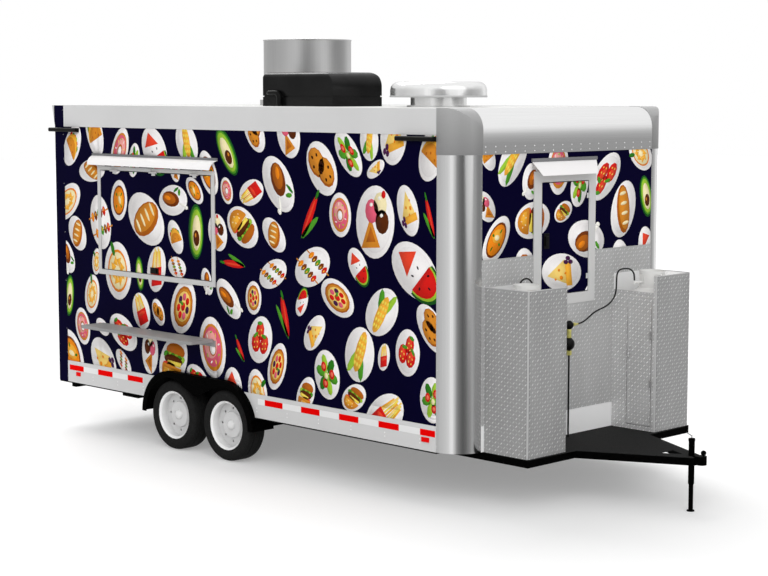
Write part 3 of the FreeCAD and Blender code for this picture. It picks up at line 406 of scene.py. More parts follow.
# The roof's rubbery coating is matt and takes the dirt unevenly.
roof_paint = painted_sheet("roof_membrane", "#E8E8E6", "#DCDCDA", 0.6, 0.15)
dress(band_paint, "top_bands", "side_skirts")
dress(shelf_shaded_paint, "serving_shelf", "shelf_ledger")
dress(white_paint, "window_awning", "front_awning")
dress(frame_paint, "window_frame", "front_frame", "entrance_frame")
dress(kick_lit_paint, "end_sills")
dress(roof_paint, "roof_panel")
print("paint shades:", 8)

# %% [markdown]
# ## Brushed and rolled metal
# The round corner posts are drawn aluminium, polished along their length. The
# fine scratches run upwards, so the reflection of the room is drawn out into
# tall streaks. The scratches are a noise squeezed in plan and stretched in
# height. Real ones are a few hundredths of a millimetre apart: these are
# coarser, so that they show at this distance. The stack is rolled stainless
# steel and the roof vent is spun aluminium, duller or brighter by their tone
# and roughness.

# %% Brushed metal
scratch_pitch = 0.0035
scratch_length = 0.9
worn_spread = 0.015


def brushed(name, tone, roughness, level=False, metal=1.0):
    """Bright bare metal with fine upright scratches, or level ones across the trailer."""
    material, tree, shader = finish_named(name, Metallic=metal)
    upright, across = 1 / scratch_length, 1 / scratch_pitch
    stretch = (across, upright, across) if level else (across, across, upright)
    hair, colour = clouded(tree, *tone, (0.3, 0.7), stretch, Scale=1.0, Detail=2.0)
    worn = add(tree, "ShaderNodeTexNoise", {"Vector": object_coordinates(tree), "Scale": 1.5, "Detail": 2.0})
    rough = add(tree, "ShaderNodeMapRange", {"Value": worn.outputs["Fac"], "To Min": roughness - worn_spread,
                                             "To Max": roughness + worn_spread})
    bump = add(tree, "ShaderNodeBump", {"Height": hair.outputs["Fac"], "Strength": 0.012, "Distance": 0.0001})
    feed(tree, shader, Base_Color=colour, Roughness=rough, Normal=bump)
    return material, tree, bump


post_metal = brushed("brushed_aluminium", ("#E4E4E4", "#EAEAEA"), 0.15)[0]
drum_metal = brushed("rolled_stainless_steel", ("#C6C6C6", "#CECECE"), 0.36)[0]
vent_metal = brushed("spun_aluminium", ("#F0F0F0", "#F8F8F8"), 0.18, metal=0.8)[0]
dress(post_metal, "corner_posts")
dress(drum_metal, "exhaust_stack")
dress(vent_metal, "roof_vent")
print("scratch pitch", scratch_pitch * 1000, "mm")

# %% [markdown]
# ## The rolled nose
# Over the front wall a polished sheet is rolled back into the roof, with its
# scratches level. The real one bends over a rounder curve than the solid's.
# The shape stays, and the way that the surface faces is worked out from the
# height instead: level at the foot, leaning upwards at the roof. The list
# says how far it has turned, as a share of a quarter turn, at each height.

# %% Rolled nose
nose_roll = [(0.0, 0.015), (0.22, 0.025), (0.37, 0.075), (0.45, 0.125), (0.53, 0.25), (0.61, 0.36),
             (0.77, 0.42), (1.0, 0.45)]


def rolled_normal(tree):
    """The way a rolled nose faces at each height: level at its foot, upwards at the roof."""
    height = position(tree).outputs["Z"]
    rise = add(tree, "ShaderNodeMapRange", {"Value": height, "From Min": cap_low, "From Max": roof_top})
    turn = add(tree, "ShaderNodeValToRGB", {0: rise})
    stops = turn.color_ramp.elements
    for i, (share, quarter) in enumerate(nose_roll):
        stop = stops[i] if i < 2 else stops.new(share)
        stop.position = share
        stop.color = (quarter, quarter, quarter, 1)
    angle = add(tree, "ShaderNodeMath", {0: turn, 1: math.pi / 2}, operation="MULTIPLY")
    ahead = add(tree, "ShaderNodeMath", {0: angle}, operation="COSINE")
    upward = add(tree, "ShaderNodeMath", {0: angle}, operation="SINE")
    return add(tree, "ShaderNodeCombineXYZ", {"X": ahead, "Z": upward})


nose_metal, tree, bump = brushed("rolled_nose_sheet", ("#F2F2F2", "#F8F8F8"), 0.16, level=True)
tree.links.new(rolled_normal(tree).outputs[0], bump.inputs["Normal"])
dress(nose_metal, "nose_cap")
print("nose turns in", len(nose_roll), "steps")

# %% [markdown]
# ## Cast corner caps
# Each post ends in a cast aluminium cap, which has fine pores and little
# shine. Its tone is scaled by the height, lighter at the top than at the
# foot: painted light, for the light that falls on its rounded top.

# %% Cast corner caps
casting_pore = 0.004

cap_metal, tree, shader = finish_named("cast_corner_cap", Metallic=0.55, Roughness=0.5,
                                       Specular_IOR_Level=0.4)
pores, colour = clouded(tree, "#9A9A9A", "#ACACAC", Scale=1 / casting_pore, Detail=3.0)
bump = add(tree, "ShaderNodeBump", {"Height": pores.outputs["Fac"], "Strength": 0.15, "Distance": 0.0004})
# Painted light: the tone rises from 0.80 of the colour at the foot to 1.26 at the top.
painted_top_light = add(tree, "ShaderNodeMapRange", {"Value": position(tree).outputs["Z"], "From Min": cap_low,
                                          "From Max": roof_top, "To Min": 0.80, "To Max": 1.26})
tone = add(tree, "ShaderNodeVectorMath", {0: colour, "Scale": painted_top_light}, operation="SCALE")
feed(tree, shader, Base_Color=tone, Normal=bump)
dress(cap_metal, "corner_caps")
print("casting pores", casting_pore * 1000, "mm")

# %% [markdown]
# ## Tread plate
# The lower front wall and the gas cabinets are aluminium tread plate: sheet
# rolled with small raised lozenges that lean left and right in turn. The lugs
# are about 28 mm long, 8 mm wide and one and a half high. Modelled one by one
# they would be many thousands, so they are drawn as a height map from plain
# sums: a square grid, a lozenge turned one way in every second square, and
# the other way in the rest. The face's direction chooses which two
# coordinates the grid uses, so that the pattern is not smeared on any side.

# %% Lugs of the tread plate
lug_pitch = 0.028
lug_height = 0.0016
lug_half_length, lug_half_width = 0.50, 0.15  # in pitches
level_face = 0.7


def tread_height(tree):
    """The height of the lugs, from 0 on the sheet to 1 on their tops, and the way that each leans."""
    xyz = position(tree)
    facing = add(tree, "ShaderNodeNewGeometry")
    lie = add(tree, "ShaderNodeSeparateXYZ", {0: facing.outputs["True Normal"]})
    steep = add(tree, "ShaderNodeMath", {0: lie.outputs["Z"]}, operation="ABSOLUTE")
    flat = add(tree, "ShaderNodeMath", {0: steep, 1: level_face}, operation="GREATER_THAN")
    lateral = add(tree, "ShaderNodeMath", {0: lie.outputs["Y"]}, operation="ABSOLUTE")
    sideways = add(tree, "ShaderNodeMath", {0: lateral, 1: level_face}, operation="GREATER_THAN")
    level = add(tree, "ShaderNodeMath", {0: flat, 1: sideways}, operation="MAXIMUM")
    first = add(tree, "ShaderNodeMix", {0: level, 2: xyz.outputs["Y"], 3: xyz.outputs["X"]})
    second = add(tree, "ShaderNodeMix", {0: flat, 2: xyz.outputs["Z"], 3: xyz.outputs["Y"]})
    cells, centred = [], []
    for axis in (first, second):
        grid = add(tree, "ShaderNodeMath", {0: axis, 1: 1 / lug_pitch}, operation="MULTIPLY")
        cells.append(add(tree, "ShaderNodeMath", {0: grid}, operation="FLOOR"))
        share = add(tree, "ShaderNodeMath", {0: grid, 1: cells[-1]}, operation="SUBTRACT")
        centred.append(add(tree, "ShaderNodeMath", {0: share, 1: 0.5}, operation="SUBTRACT"))
    total = add(tree, "ShaderNodeMath", {0: cells[0], 1: cells[1]}, operation="ADD")
    odd = add(tree, "ShaderNodeMath", {0: total, 1: 2.0}, operation="FLOORED_MODULO")
    lean = add(tree, "ShaderNodeMath", {0: odd, 1: -2.0, 2: 1.0}, operation="MULTIPLY_ADD")
    leant = add(tree, "ShaderNodeMath", {0: centred[1], 1: lean}, operation="MULTIPLY")
    along = add(tree, "ShaderNodeMath", {0: centred[0], 1: leant}, operation="ADD")
    over = add(tree, "ShaderNodeMath", {0: centred[0], 1: leant}, operation="SUBTRACT")
    squares = []
    for part, reach in ((along, lug_half_length), (over, lug_half_width)):
        share = add(tree, "ShaderNodeMath", {0: part, 1: 0.7071 / reach}, operation="MULTIPLY")
        squares.append(add(tree, "ShaderNodeMath", {0: share, 1: share}, operation="MULTIPLY"))
    from_middle = add(tree, "ShaderNodeMath", {0: squares[0], 1: squares[1]}, operation="ADD")
    raised = add(tree, "ShaderNodeMapRange", {"Value": from_middle, "From Min": 0.3, "From Max": 1.0,
                                              "To Min": 1.0, "To Max": 0.0})
    return raised, lean


print("lug pitch", lug_pitch * 1000, "mm")

# %% [markdown]
# Inside, the cabinets are painted plain white, and a mask from the
# coordinates finds those faces. Outside, shade and light are painted into
# the plate's tone: the rounded corners are painted darker, as painted shade
# that hides a bright reflection there, and the side that faces the wall
# between the cabinets is painted brighter, as painted light that takes away
# the shade there. Both are a factor on the plate's tone.

# %% Where the plate is painted white, and where shade and light are painted on it
plate_skin = 0.002
near_wall = 0.014
# Strength of the painted shade on the corners and of the painted light between the cabinets.
corner_painted_shade, painted_light_between = 0.55, 1.75


def cabinet_inside(tree):
    """1 on the faces inside the gas cabinets, which are painted white, and 0 elsewhere."""
    low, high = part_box("gas_cabinet_left")
    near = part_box("cabinet_door_left")[0].y + near_wall
    xyz = position(tree)
    across = add(tree, "ShaderNodeMath", {0: xyz.outputs["Y"]}, operation="ABSOLUTE")
    tests = [(across, near + plate_skin, "GREATER_THAN"), (across, high.y - plate_skin, "LESS_THAN"),
             (xyz.outputs["X"], low.x + plate_skin, "GREATER_THAN"),
             (xyz.outputs["X"], high.x - plate_skin, "LESS_THAN")]
    product = 1.0
    for value, limit, way in tests:
        test = add(tree, "ShaderNodeMath", {0: value, 1: limit}, operation=way)
        product = add(tree, "ShaderNodeMath", {0: product, 1: test}, operation="MULTIPLY")
    return product


def painted_light_and_shade(tree):
    """A factor on the plate's tone: painted shade on round corners and painted light between the cabinets."""
    facing = add(tree, "ShaderNodeNewGeometry")
    lie = add(tree, "ShaderNodeSeparateXYZ", {0: facing.outputs["True Normal"]})
    ahead = add(tree, "ShaderNodeMath", {0: lie.outputs["X"]}, operation="ABSOLUTE")
    across = add(tree, "ShaderNodeMath", {0: lie.outputs["Y"]}, operation="ABSOLUTE")
    both = add(tree, "ShaderNodeMath", {0: ahead, 1: across}, operation="MULTIPLY")
    # Painted shade: round corners are darkened, which hides a bright reflection on them.
    corner = add(tree, "ShaderNodeMapRange", {"Value": both, "From Min": 0.04, "From Max": 0.35,
                                              "To Min": 1.0, "To Max": corner_painted_shade})
    # Painted light: the side that faces the wall between the cabinets is lifted, which takes away the shade
    # there.
    rightward = add(tree, "ShaderNodeMath", {0: lie.outputs["Y"], 1: -0.995}, operation="LESS_THAN")
    left_half = add(tree, "ShaderNodeMath", {0: position(tree).outputs["Y"], 1: 0.3},
                    operation="GREATER_THAN")
    between = add(tree, "ShaderNodeMath", {0: rightward, 1: left_half}, operation="MULTIPLY")
    lift = add(tree, "ShaderNodeMapRange", {"Value": between, "To Min": 1.0, "To Max": painted_light_between})
    return add(tree, "ShaderNodeMath", {0: corner, 1: lift}, operation="MULTIPLY")


print("corners dulled to", corner_painted_shade, "and the side between lifted to", painted_light_between)

# %% [markdown]
# The plate itself puts these together: the sheet drifts between two tones
# from its rolling, the lugs' tops get a painted highlight, brighter on one
# lean than on the other, and the bump takes the same heights.

# %% Tread plate
def tread_plate(name, low, high, painted_highlight):
    """Tread plate whose sheet drifts between two tones, with a painted highlight on its lugs."""
    material, tree, shader = finish_named(name, Metallic=0.3, Specular_IOR_Level=0.3)
    lugs, lean = tread_height(tree)
    sheet = clouded(tree, low, high, (0.3, 0.75), (1, 1, 0.25), Scale=5.0, Detail=3.0)[1]
    # Painted highlight: the lugs' tops are mixed towards a bright colour, more on one lean than the other.
    highlight_noise = add(tree, "ShaderNodeTexNoise", {"Vector": object_coordinates(tree), "Scale": 26.0,
                                               "Detail": 1.0})
    bright = add(tree, "ShaderNodeMapRange", {"Value": highlight_noise.outputs["Fac"], "From Min": 0.35,
                                              "From Max": 0.65, "To Min": 0.45, "To Max": 1.0})
    lit = add(tree, "ShaderNodeMapRange", {"Value": lean, "From Min": -1.0, "From Max": 1.0,
                                           "To Min": 0.22, "To Max": 0.85})
    painted_glint = add(tree, "ShaderNodeMath", {0: bright, 1: lit}, operation="MULTIPLY")
    top = add(tree, "ShaderNodeMath", {0: lugs, 1: painted_glint}, operation="MULTIPLY")
    plate = add(tree, "ShaderNodeMix", {0: top, 6: sheet, 7: linear(painted_highlight)}, data_type="RGBA")
    inside = cabinet_inside(tree)
    colour = add(tree, "ShaderNodeMix", {0: inside, 6: plate.outputs[2], 7: linear("#F2F2F2")},
                 data_type="RGBA")
    # The painted shade and light scale the plate's colour.
    tone_with_painted_light = add(tree, "ShaderNodeVectorMath", {0: colour.outputs[2], "Scale": painted_light_and_shade(tree)},
                 operation="SCALE")
    outside = add(tree, "ShaderNodeMath", {0: 1.0, 1: inside}, operation="SUBTRACT")
    relief = add(tree, "ShaderNodeMath", {0: lugs, 1: outside}, operation="MULTIPLY")
    rough = add(tree, "ShaderNodeMapRange", {"Value": relief, "To Min": 0.5, "To Max": 0.32})
    bump = add(tree, "ShaderNodeBump", {"Height": relief, "Strength": 0.45, "Distance": lug_height})
    feed(tree, shader, Base_Color=tone_with_painted_light, Roughness=rough, Normal=bump)
    return material


tread = tread_plate("aluminium_tread_plate", "#9A9A9A", "#A6A6A6", "#F4F4F4")
# The stone guard between the cabinets gets a lighter copy of the plate: painted light that takes away the
# shade there.
guard_tread_lit = tread_plate("lit_tread_plate", "#B4B4B4", "#C0C0C0", "#FFFFFF")
dress(tread, "gas_cabinet_left", "gas_cabinet_right", "cabinet_door_left", "cabinet_door_right")
dress(guard_tread_lit, "stone_guard")
print("nodes in one tread plate:", len(tread.node_tree.nodes))

# %% [markdown]
# ## Black steel, deck, boards and plastics
# The chassis, tongue and fenders are painted black. Fresh chassis paint is
# thick and a little lumpy. The deck has a gritty anti-slip coat in a lighter
# black, and the wheel boxes have a dull undercoat. The light bars and latches
# are moulded plastic, smoother than paint, and the air conditioner's shroud
# is glossier still, with slow waves from its mould. The crank's galvanised
# steel and the floor's coated board are broken up in the same way.

# %% Black paints, plastics and boards
def dark_coat(name, low, high, size, relief, roughness, gloss):
    """A finish whose tone and surface are broken at one size, in metres."""
    material, tree, shader = finish_named(name, Specular_IOR_Level=gloss)
    patches, colour = clouded(tree, low, high, (0.35, 0.7), Scale=1 / size, Detail=5.0)
    rough = add(tree, "ShaderNodeMapRange", {"Value": patches.outputs["Fac"], "To Min": roughness - 0.08,
                                             "To Max": roughness + 0.08})
    bump = add(tree, "ShaderNodeBump", {"Height": patches.outputs["Fac"], "Strength": 0.3,
                                        "Distance": relief})
    feed(tree, shader, Base_Color=colour, Roughness=rough, Normal=bump)
    return material


# Thick chassis paint swallows the light and has brush-sized lumps.
black_paint = dark_coat("black_chassis_paint", "#010101", "#060606", 0.02, 0.0004, 0.5, 0.01)
# Grit of some 8 mm, coarser than the real one so that it shows, with no gloss.
deck_coat = dark_coat("anti_slip_deck_coat", "#202020", "#303030", 0.008, 0.0012, 0.8, 0.05)
# Moulded plastic keeps the polish of its tool: small sharp highlights.
black_plastic = dark_coat("black_moulded_plastic", "#0A0A0A", "#111111", 0.05, 0.0002, 0.32, 0.12)
shroud_plastic = dark_coat("glossy_black_plastic", "#060606", "#141414", 0.34, 0.03, 0.24, 0.2)
# Resin-coated plywood: dull brown, a little worn.
board = dark_coat("coated_floor_board", "#3A3632", "#4A4540", 0.06, 0.0008, 0.6, 0.2)
# Sprayed undercoat is rough and never shines.
undercoat = dark_coat("black_undercoat", "#101010", "#1A1A1A", 0.02, 0.0008, 0.8, 0.05)
# Zinc freezes in patches of lighter and darker grey.
steel_sheet = dark_coat("galvanised_sheet", "#8A8C8E", "#A4A6A8", 0.05, 0.0003, 0.45, 0.4)
dress(black_paint, "main_rails", "cross_members", "tongue_frame", "coupler", "jack_tube", "jack_leg",
      "axle_front", "axle_rear", "fenders")
dress(deck_coat, "deck_plate")
dress(black_plastic, "bar_lights", "hatch_latch", "front_latch", "entrance_handle", "regulators")
dress(shroud_plastic, "air_conditioner")
dress(board, "floor_panel")
dress(undercoat, "wheel_boxes")
dress(steel_sheet, "jack_crank")
print("dark coats, board and steel: 7")

# %% [markdown]
# ## Enamel, lenses, brass and rubber
# Gas cylinders and wheels are sprayed with glossy enamel, thick enough to
# round off small steps. A wheel's enamel is painted darker with the depth
# behind the rim's lip: painted shade, for the shadow deep in its dish. The
# marker lamps have red lenses over a pale reflector: the colour sits under a
# clear coat. The gas fittings are turned brass, which a fine noise breaks as
# lathe marks do.

# %% Enamel, lens, tape, brass and rubber
lip_inset, dish_depth = 0.002, 0.085
lathe_mark = 0.003

wheel_enamel, tree, shader = finish_named("white_wheel_enamel", Roughness=0.22, Specular_IOR_Level=0.6)
rim_face = -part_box("wheel_front_right")[0].y
across = add(tree, "ShaderNodeMath", {0: position(tree).outputs["Y"]}, operation="ABSOLUTE")
depth = add(tree, "ShaderNodeMapRange", {"Value": across, "From Min": rim_face - dish_depth,
                                         "From Max": rim_face - lip_inset})
# Painted shade: the enamel goes from #CCCCCC deep in the dish to #FAFAFA at the rim's lip.
dish_painted_shade = add(tree, "ShaderNodeValToRGB", {0: depth})
dish_painted_shade.color_ramp.elements[0].color = linear("#CCCCCC")
dish_painted_shade.color_ramp.elements[1].color = linear("#FAFAFA")
feed(tree, shader, Base_Color=dish_painted_shade)
tank_enamel = painted_sheet("white_cylinder_enamel", "#F2F2F0", "#E6E6E4", 0.28, 0.45)
lens = painted_sheet("red_lamp_lens", "#F20000", "#E20000", 0.3, 0.05)
tape_red = painted_sheet("red_reflective_tape", "#F40000", "#E60000", 0.6, 0.02)
tape_white = painted_sheet("white_reflective_tape", "#F2F2F2", "#EAEAEA", 0.5, 0.1)
edge_alloy = painted_sheet("mill_finish_edge", "#C8C8C8", "#B4B4B4", 0.4, 0.4)
brass, tree, shader = finish_named("turned_brass", Metallic=0.55, Roughness=0.34)
feed(tree, shader, Base_Color=clouded(tree, "#CDC668", "#E4DE8C", Scale=1 / lathe_mark, Detail=3.0)[1])
# Carbon-black rubber: a dusty near black with hardly any gloss.
rubber = dark_coat("tyre_rubber", "#1E1E1E", "#272727", 0.012, 0.0003, 0.8, 0.05)
hose_rubber = dark_coat("hose_rubber", "#141414", "#1E1E1E", 0.01, 0.0003, 0.55, 0.3)
dress(wheel_enamel, "wheel_front_left", "wheel_front_right", "wheel_rear_left", "wheel_rear_right")
dress(tank_enamel, "gas_cylinders")
dress(lens, "lamps")
print("materials so far:", len(bpy.data.materials))

# %% [markdown]
# ## Finishing a piece
# Every added piece ends the same way: its mesh gets a name, a material and
# smooth shading with crisp edges, and it rides on the body that carries it.

# %% Helpers for meshes
crisp_angle = math.radians(35)


def whole(shape):
    """Everything in a bmesh, as its operators take it."""
    return shape.verts[:] + shape.edges[:] + shape.faces[:]


def put(target, shape, place=None):
    """Add a copy of one bmesh to another, at a place."""
    data = bpy.data.meshes.new("passing")
    shape.to_mesh(data)
    if place is not None:
        data.transform(place)
    target.from_mesh(data)
    bpy.data.meshes.remove(data)


def use_up(target, shape, place=None):
    """Add a bmesh to another, at a place, when it isn't needed again."""
    put(target, shape, place)
    shape.free()


def piece(name, shape, materials, body, outward=True):
    """Turn a finished bmesh into an object that rides on a body."""
    if outward:
        bmesh.ops.recalc_face_normals(shape, faces=shape.faces[:])
    data = bpy.data.meshes.new(name)
    shape.to_mesh(data)
    shape.free()
    data.polygons.foreach_set("use_smooth", [True] * len(data.polygons))
    data.set_sharp_from_angle(angle=crisp_angle)
    for material in materials if isinstance(materials, list) else [materials]:
        data.materials.append(material)
    made = bpy.data.objects.new(name, data)
    scene.collection.objects.link(made)
    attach(made, body)
    data.calc_loop_triangles()
    print(name, "has", len(data.loop_triangles), "triangles")
    return made


print("edges crisp above", round(math.degrees(crisp_angle)), "degrees")

# %% [markdown]
# Most small parts of a trailer are either folded or sawn, or turned on a
# lathe. So two starting shapes go a long way: a box with eased edges, and a
# profile spun about its own axis.

# %% A block and a turned part
def block(low, high, rounding=0.0):
    """A box between two corners, with its edges rounded."""
    shape = bmesh.new()
    bmesh.ops.create_cube(shape, size=1)
    size = Vector(high) - Vector(low)
    place = Matrix.Translation((Vector(high) + Vector(low)) / 2)
    bmesh.ops.transform(shape, matrix=place @ Matrix.Diagonal((*size, 1)), verts=shape.verts)
    if rounding:
        bmesh.ops.bevel(shape, geom=shape.edges[:], offset=rounding, segments=2, profile=0.5,
                        affect="EDGES", material=-1)
    return shape


def turning(axis, centre):
    """A place whose own z axis lies along the given axis."""
    return Matrix.Translation(centre) @ Vector(axis).to_track_quat("Z", "Y").to_matrix().to_4x4()


def both_ways(half):
    """A profile of (radius, height) points, followed by its mirror image."""
    return half + [(r, -h) for r, h in reversed(half)]


def turned_part(profile, steps):
    """A turned part from (radius, height) points, about its own z axis, closed at both ends."""
    shape = bmesh.new()
    line = [shape.verts.new((r, 0, h)) for r, h in profile]
    for a, b in zip(line, line[1:]):
        shape.edges.new((a, b))
    bmesh.ops.spin(shape, geom=whole(shape), axis=(0, 0, 1), cent=(0, 0, 0), angle=2 * math.pi, steps=steps,
                   use_merge=True)
    bmesh.ops.remove_doubles(shape, verts=shape.verts, dist=1e-5)
    return shape


print("shapes to start from: 2")

# %% [markdown]
# ## Pictures on the wrap
# The wrap shows dozens of white oval plates of food on navy. The pictures
# here are this lesson's own: plain fruit, bread, fried food and sweets from a
# few flat shapes each, in the wrap's warm reds, oranges, browns and greens.
# Each is drawn once on a round plate of radius 1. Every shape lies a hair
# above the one below it, as thick ink would, so nothing flickers.

# %% Drawing with flat shapes
ink_step = 0.00016
palette = {
    "plate": "#FAF7F6", "rim": "#F2EEEE", "well": "#F8F5F4", "crust": "#D98A2B", "toast": "#B8641B",
    "cocoa": "#5A2A10", "roast": "#7A3A14", "sear": "#3D1A08", "orange": "#F08A1C", "amber": "#F6B23C",
    "lemon": "#F9DE5A", "cream": "#F7E9B8", "butter": "#FBD777", "red": "#D8201C", "tomato": "#E8472E",
    "coral": "#F2785A", "pink": "#F2A6A0", "rose": "#E4607A", "leaf": "#4F9A2A", "herb": "#2F7A1E",
    "lime": "#9CC93A", "rind": "#1F5A22", "plum": "#4A1F4A", "night": "#14141C", "milk": "#FFFDF4",
}


def face_up(flat):
    """Turn every face of a flat shape towards +z."""
    flat.normal_update()
    for face in flat.faces:
        if face.normal.z < 0:
            face.normal_flip()


def draw(shape, colour, level, x, y, wide, tall, turn=0, sides=12, keep=None):
    """A filled oval, or a polygon with few sides; keep cuts it along a line at that height."""
    flat = bmesh.new()
    bmesh.ops.create_circle(flat, cap_ends=True, segments=sides, radius=0.5)
    if sides == 4:
        bmesh.ops.rotate(flat, verts=flat.verts, cent=(0, 0, 0), matrix=Matrix.Rotation(math.pi / 4, 3, "Z"))
        bmesh.ops.scale(flat, verts=flat.verts, vec=(math.sqrt(2), math.sqrt(2), 1))
    if keep is not None:
        bmesh.ops.bisect_plane(flat, geom=whole(flat), plane_co=(0, keep, 0), plane_no=(0, -1, 0),
                               clear_outer=True)
    place = Matrix.Translation((x, y, level)) @ Matrix.Rotation(math.radians(turn), 4, "Z")
    bmesh.ops.transform(flat, matrix=place @ Matrix.Diagonal((wide, tall, 1, 1)), verts=flat.verts)
    face_up(flat)
    tint = flat.loops.layers.float_color.new("ink")
    for face in flat.faces:
        for loop in face.loops:
            loop[tint] = linear(palette[colour])
    use_up(shape, flat)


def around(count, radius, start=0):
    """Places on a circle, with the direction of each."""
    for i in range(count):
        degrees = start + 360 * i / count
        yield radius * math.cos(math.radians(degrees)), radius * math.sin(math.radians(degrees)), degrees


print("palette colours:", len(palette))

# %% [markdown]
# ### Sweets, bread and fruit
# Round foods are stacked ovals. A wedge or a bun is an oval cut along a line.
# What repeats, such as sprinkles, seeds and segments, goes round a circle.

# %% Pictures of sweets, bread and fruit
def doughnut(p):
    """A ring with pink icing and sprinkles."""
    draw(p, "crust", 3, 0, 0, 1.36, 1.36, sides=20)
    draw(p, "rose", 4, 0, 0.02, 1.2, 1.16, sides=18)
    draw(p, "pink", 5, -0.08, 0.1, 0.86, 0.8, sides=16)
    draw(p, "toast", 6, 0, 0, 0.5, 0.5, sides=14)
    draw(p, "well", 7, 0, -0.02, 0.38, 0.38, sides=12)
    for i, (x, y, turn) in enumerate(around(9, 0.44)):
        draw(p, ("milk", "lemon", "lime")[i % 3], 6, x, y, 0.16, 0.06, turn * 2.3, 6)


def citrus(p):
    """Half an orange with its segments and a leaf."""
    draw(p, "orange", 3, 0, 0, 1.3, 1.3, sides=20)
    draw(p, "cream", 4, 0, 0, 1.14, 1.14, sides=18)
    for x, y, turn in around(8, 0.3):
        draw(p, "amber", 5, x, y, 0.42, 0.36, turn + 180, 3)
    draw(p, "herb", 6, 0.52, 0.5, 0.5, 0.22, 40, 8)


def melon(p):
    """A slice of melon with pips, and a second one behind it."""
    draw(p, "rind", 3, 0, -0.3, 1.5, 1.5, 180, 22, keep=0)
    draw(p, "lime", 4, 0, -0.28, 1.34, 1.34, 180, 20, keep=0)
    draw(p, "red", 5, 0, -0.26, 1.22, 1.2, 180, 20, keep=0)
    draw(p, "tomato", 3, 0.05, 0.36, 1.2, 0.7, 12, 3)
    for x, y, turn in around(5, 0.34, 200):
        draw(p, "night", 6, x, y - 0.3, 0.07, 0.12, turn + 90, 6)


def tart(p):
    """A custard tart with berries in a ring."""
    draw(p, "toast", 3, 0, 0, 1.34, 1.34, sides=14)
    draw(p, "crust", 4, 0, 0, 1.2, 1.2, sides=14)
    draw(p, "butter", 5, 0, 0, 1.0, 1.0, sides=14)
    for i, (x, y, turn) in enumerate(around(7, 0.32)):
        draw(p, ("red", "plum", "rose")[i % 3], 6, x, y, 0.26, 0.26, turn, 8)
    draw(p, "red", 7, 0, 0, 0.3, 0.3, 0, 8)
    draw(p, "leaf", 8, 0.1, 0.12, 0.28, 0.12, 30, 6)


def loaf(p):
    """A long loaf with four floury cuts."""
    draw(p, "toast", 3, 0, 0, 1.66, 0.86, 28, 16)
    draw(p, "crust", 4, -0.02, 0.05, 1.5, 0.66, 28, 14)
    for i in range(4):
        draw(p, "cream", 5, -0.48 + 0.3 * i, -0.2 + 0.17 * i, 0.12, 0.46, 50, 8)


def cookie(p):
    """Two overlapping biscuits with dark drops."""
    for x, y, turn in ((-0.2, -0.12, 0), (0.24, 0.2, 40)):
        draw(p, "toast", 3, x, y, 0.98, 0.98, turn, 12)
        draw(p, "crust", 4, x - 0.02, y + 0.03, 0.88, 0.86, turn, 12)
        for a, b, spin in around(5, 0.26, turn):
            draw(p, "sear", 5, x + a, y + b, 0.14, 0.12, spin, 5)


def ices(p):
    """Three scoops on a cone."""
    draw(p, "crust", 3, 0, -0.42, 1.0, 1.0, 30, 3)
    draw(p, "toast", 4, 0, -0.4, 0.5, 0.5, 30, 3)
    for x, y, colour in ((-0.26, 0.16, "rose"), (0.28, 0.16, "cocoa"), (0.0, 0.48, "cream")):
        draw(p, colour, 5, x, y, 0.62, 0.58, 0, 12)
        draw(p, "milk", 6, x - 0.1, y + 0.12, 0.16, 0.1, 30, 6)
    draw(p, "red", 7, 0.02, 0.76, 0.2, 0.2, 0, 8)


def berries(p):
    """Three strawberries."""
    for x, y, turn in ((-0.3, -0.2, 20), (0.3, -0.1, -25), (0.02, 0.32, 5)):
        draw(p, "red", 3, x, y, 0.62, 0.74, turn, 10)
        draw(p, "tomato", 4, x - 0.06, y + 0.06, 0.36, 0.46, turn, 8)
        draw(p, "leaf", 5, x + 0.02, y + 0.3, 0.4, 0.16, turn, 6)
        for a, b, spin in around(4, 0.14, 45):
            draw(p, "lemon", 5, x + a, y + b - 0.06, 0.05, 0.08, spin, 4)


print("pictures so far: 8")

# %% [markdown]
# ### Hot food
# These carry the wrap's browns. Layers that lie flat on a plate in life are
# seen from the side here, one long oval above another.

# %% Pictures of hot food
def burger(p):
    """A bun with its layers."""
    draw(p, "toast", 3, 0, -0.34, 1.24, 0.5, 0, 14)
    for i in range(6):
        draw(p, ("leaf", "lime")[i % 2], 4, -0.55 + 0.22 * i, -0.14, 0.34, 0.24, 0, 7)
    draw(p, "cocoa", 5, 0, -0.02, 1.26, 0.34, 0, 12)
    draw(p, "lemon", 6, 0.1, 0.08, 0.9, 0.16, -4, 4)
    draw(p, "tomato", 6, -0.2, 0.14, 0.86, 0.14, 0, 8)
    draw(p, "crust", 7, 0, 0.16, 1.3, 1.2, 0, 18, keep=0)
    draw(p, "amber", 8, -0.12, 0.34, 0.7, 0.5, 0, 12, keep=-0.1)
    for x, y, turn in around(5, 0.3, 20):
        draw(p, "cream", 9, x, 0.44 + y * 0.4, 0.09, 0.06, turn, 5)


def taco(p):
    """A folded shell with its filling above the edge."""
    for i in range(6):
        rise = 0.16 + 0.18 * math.sin(i * 0.63)
        draw(p, ("leaf", "red", "lime", "orange")[i % 4], 3, -0.5 + 0.2 * i, rise, 0.32, 0.32, 0, 8)
    draw(p, "amber", 4, 0, -0.28, 1.5, 1.4, 0, 20, keep=0.02)
    draw(p, "crust", 5, 0.03, -0.32, 1.36, 1.1, 0, 18, keep=0.05)
    for x, y, turn in ((-0.3, -0.14, 0), (0.1, -0.06, 0), (0.36, -0.18, 0)):
        draw(p, "toast", 6, x, y, 0.12, 0.09, turn, 6)


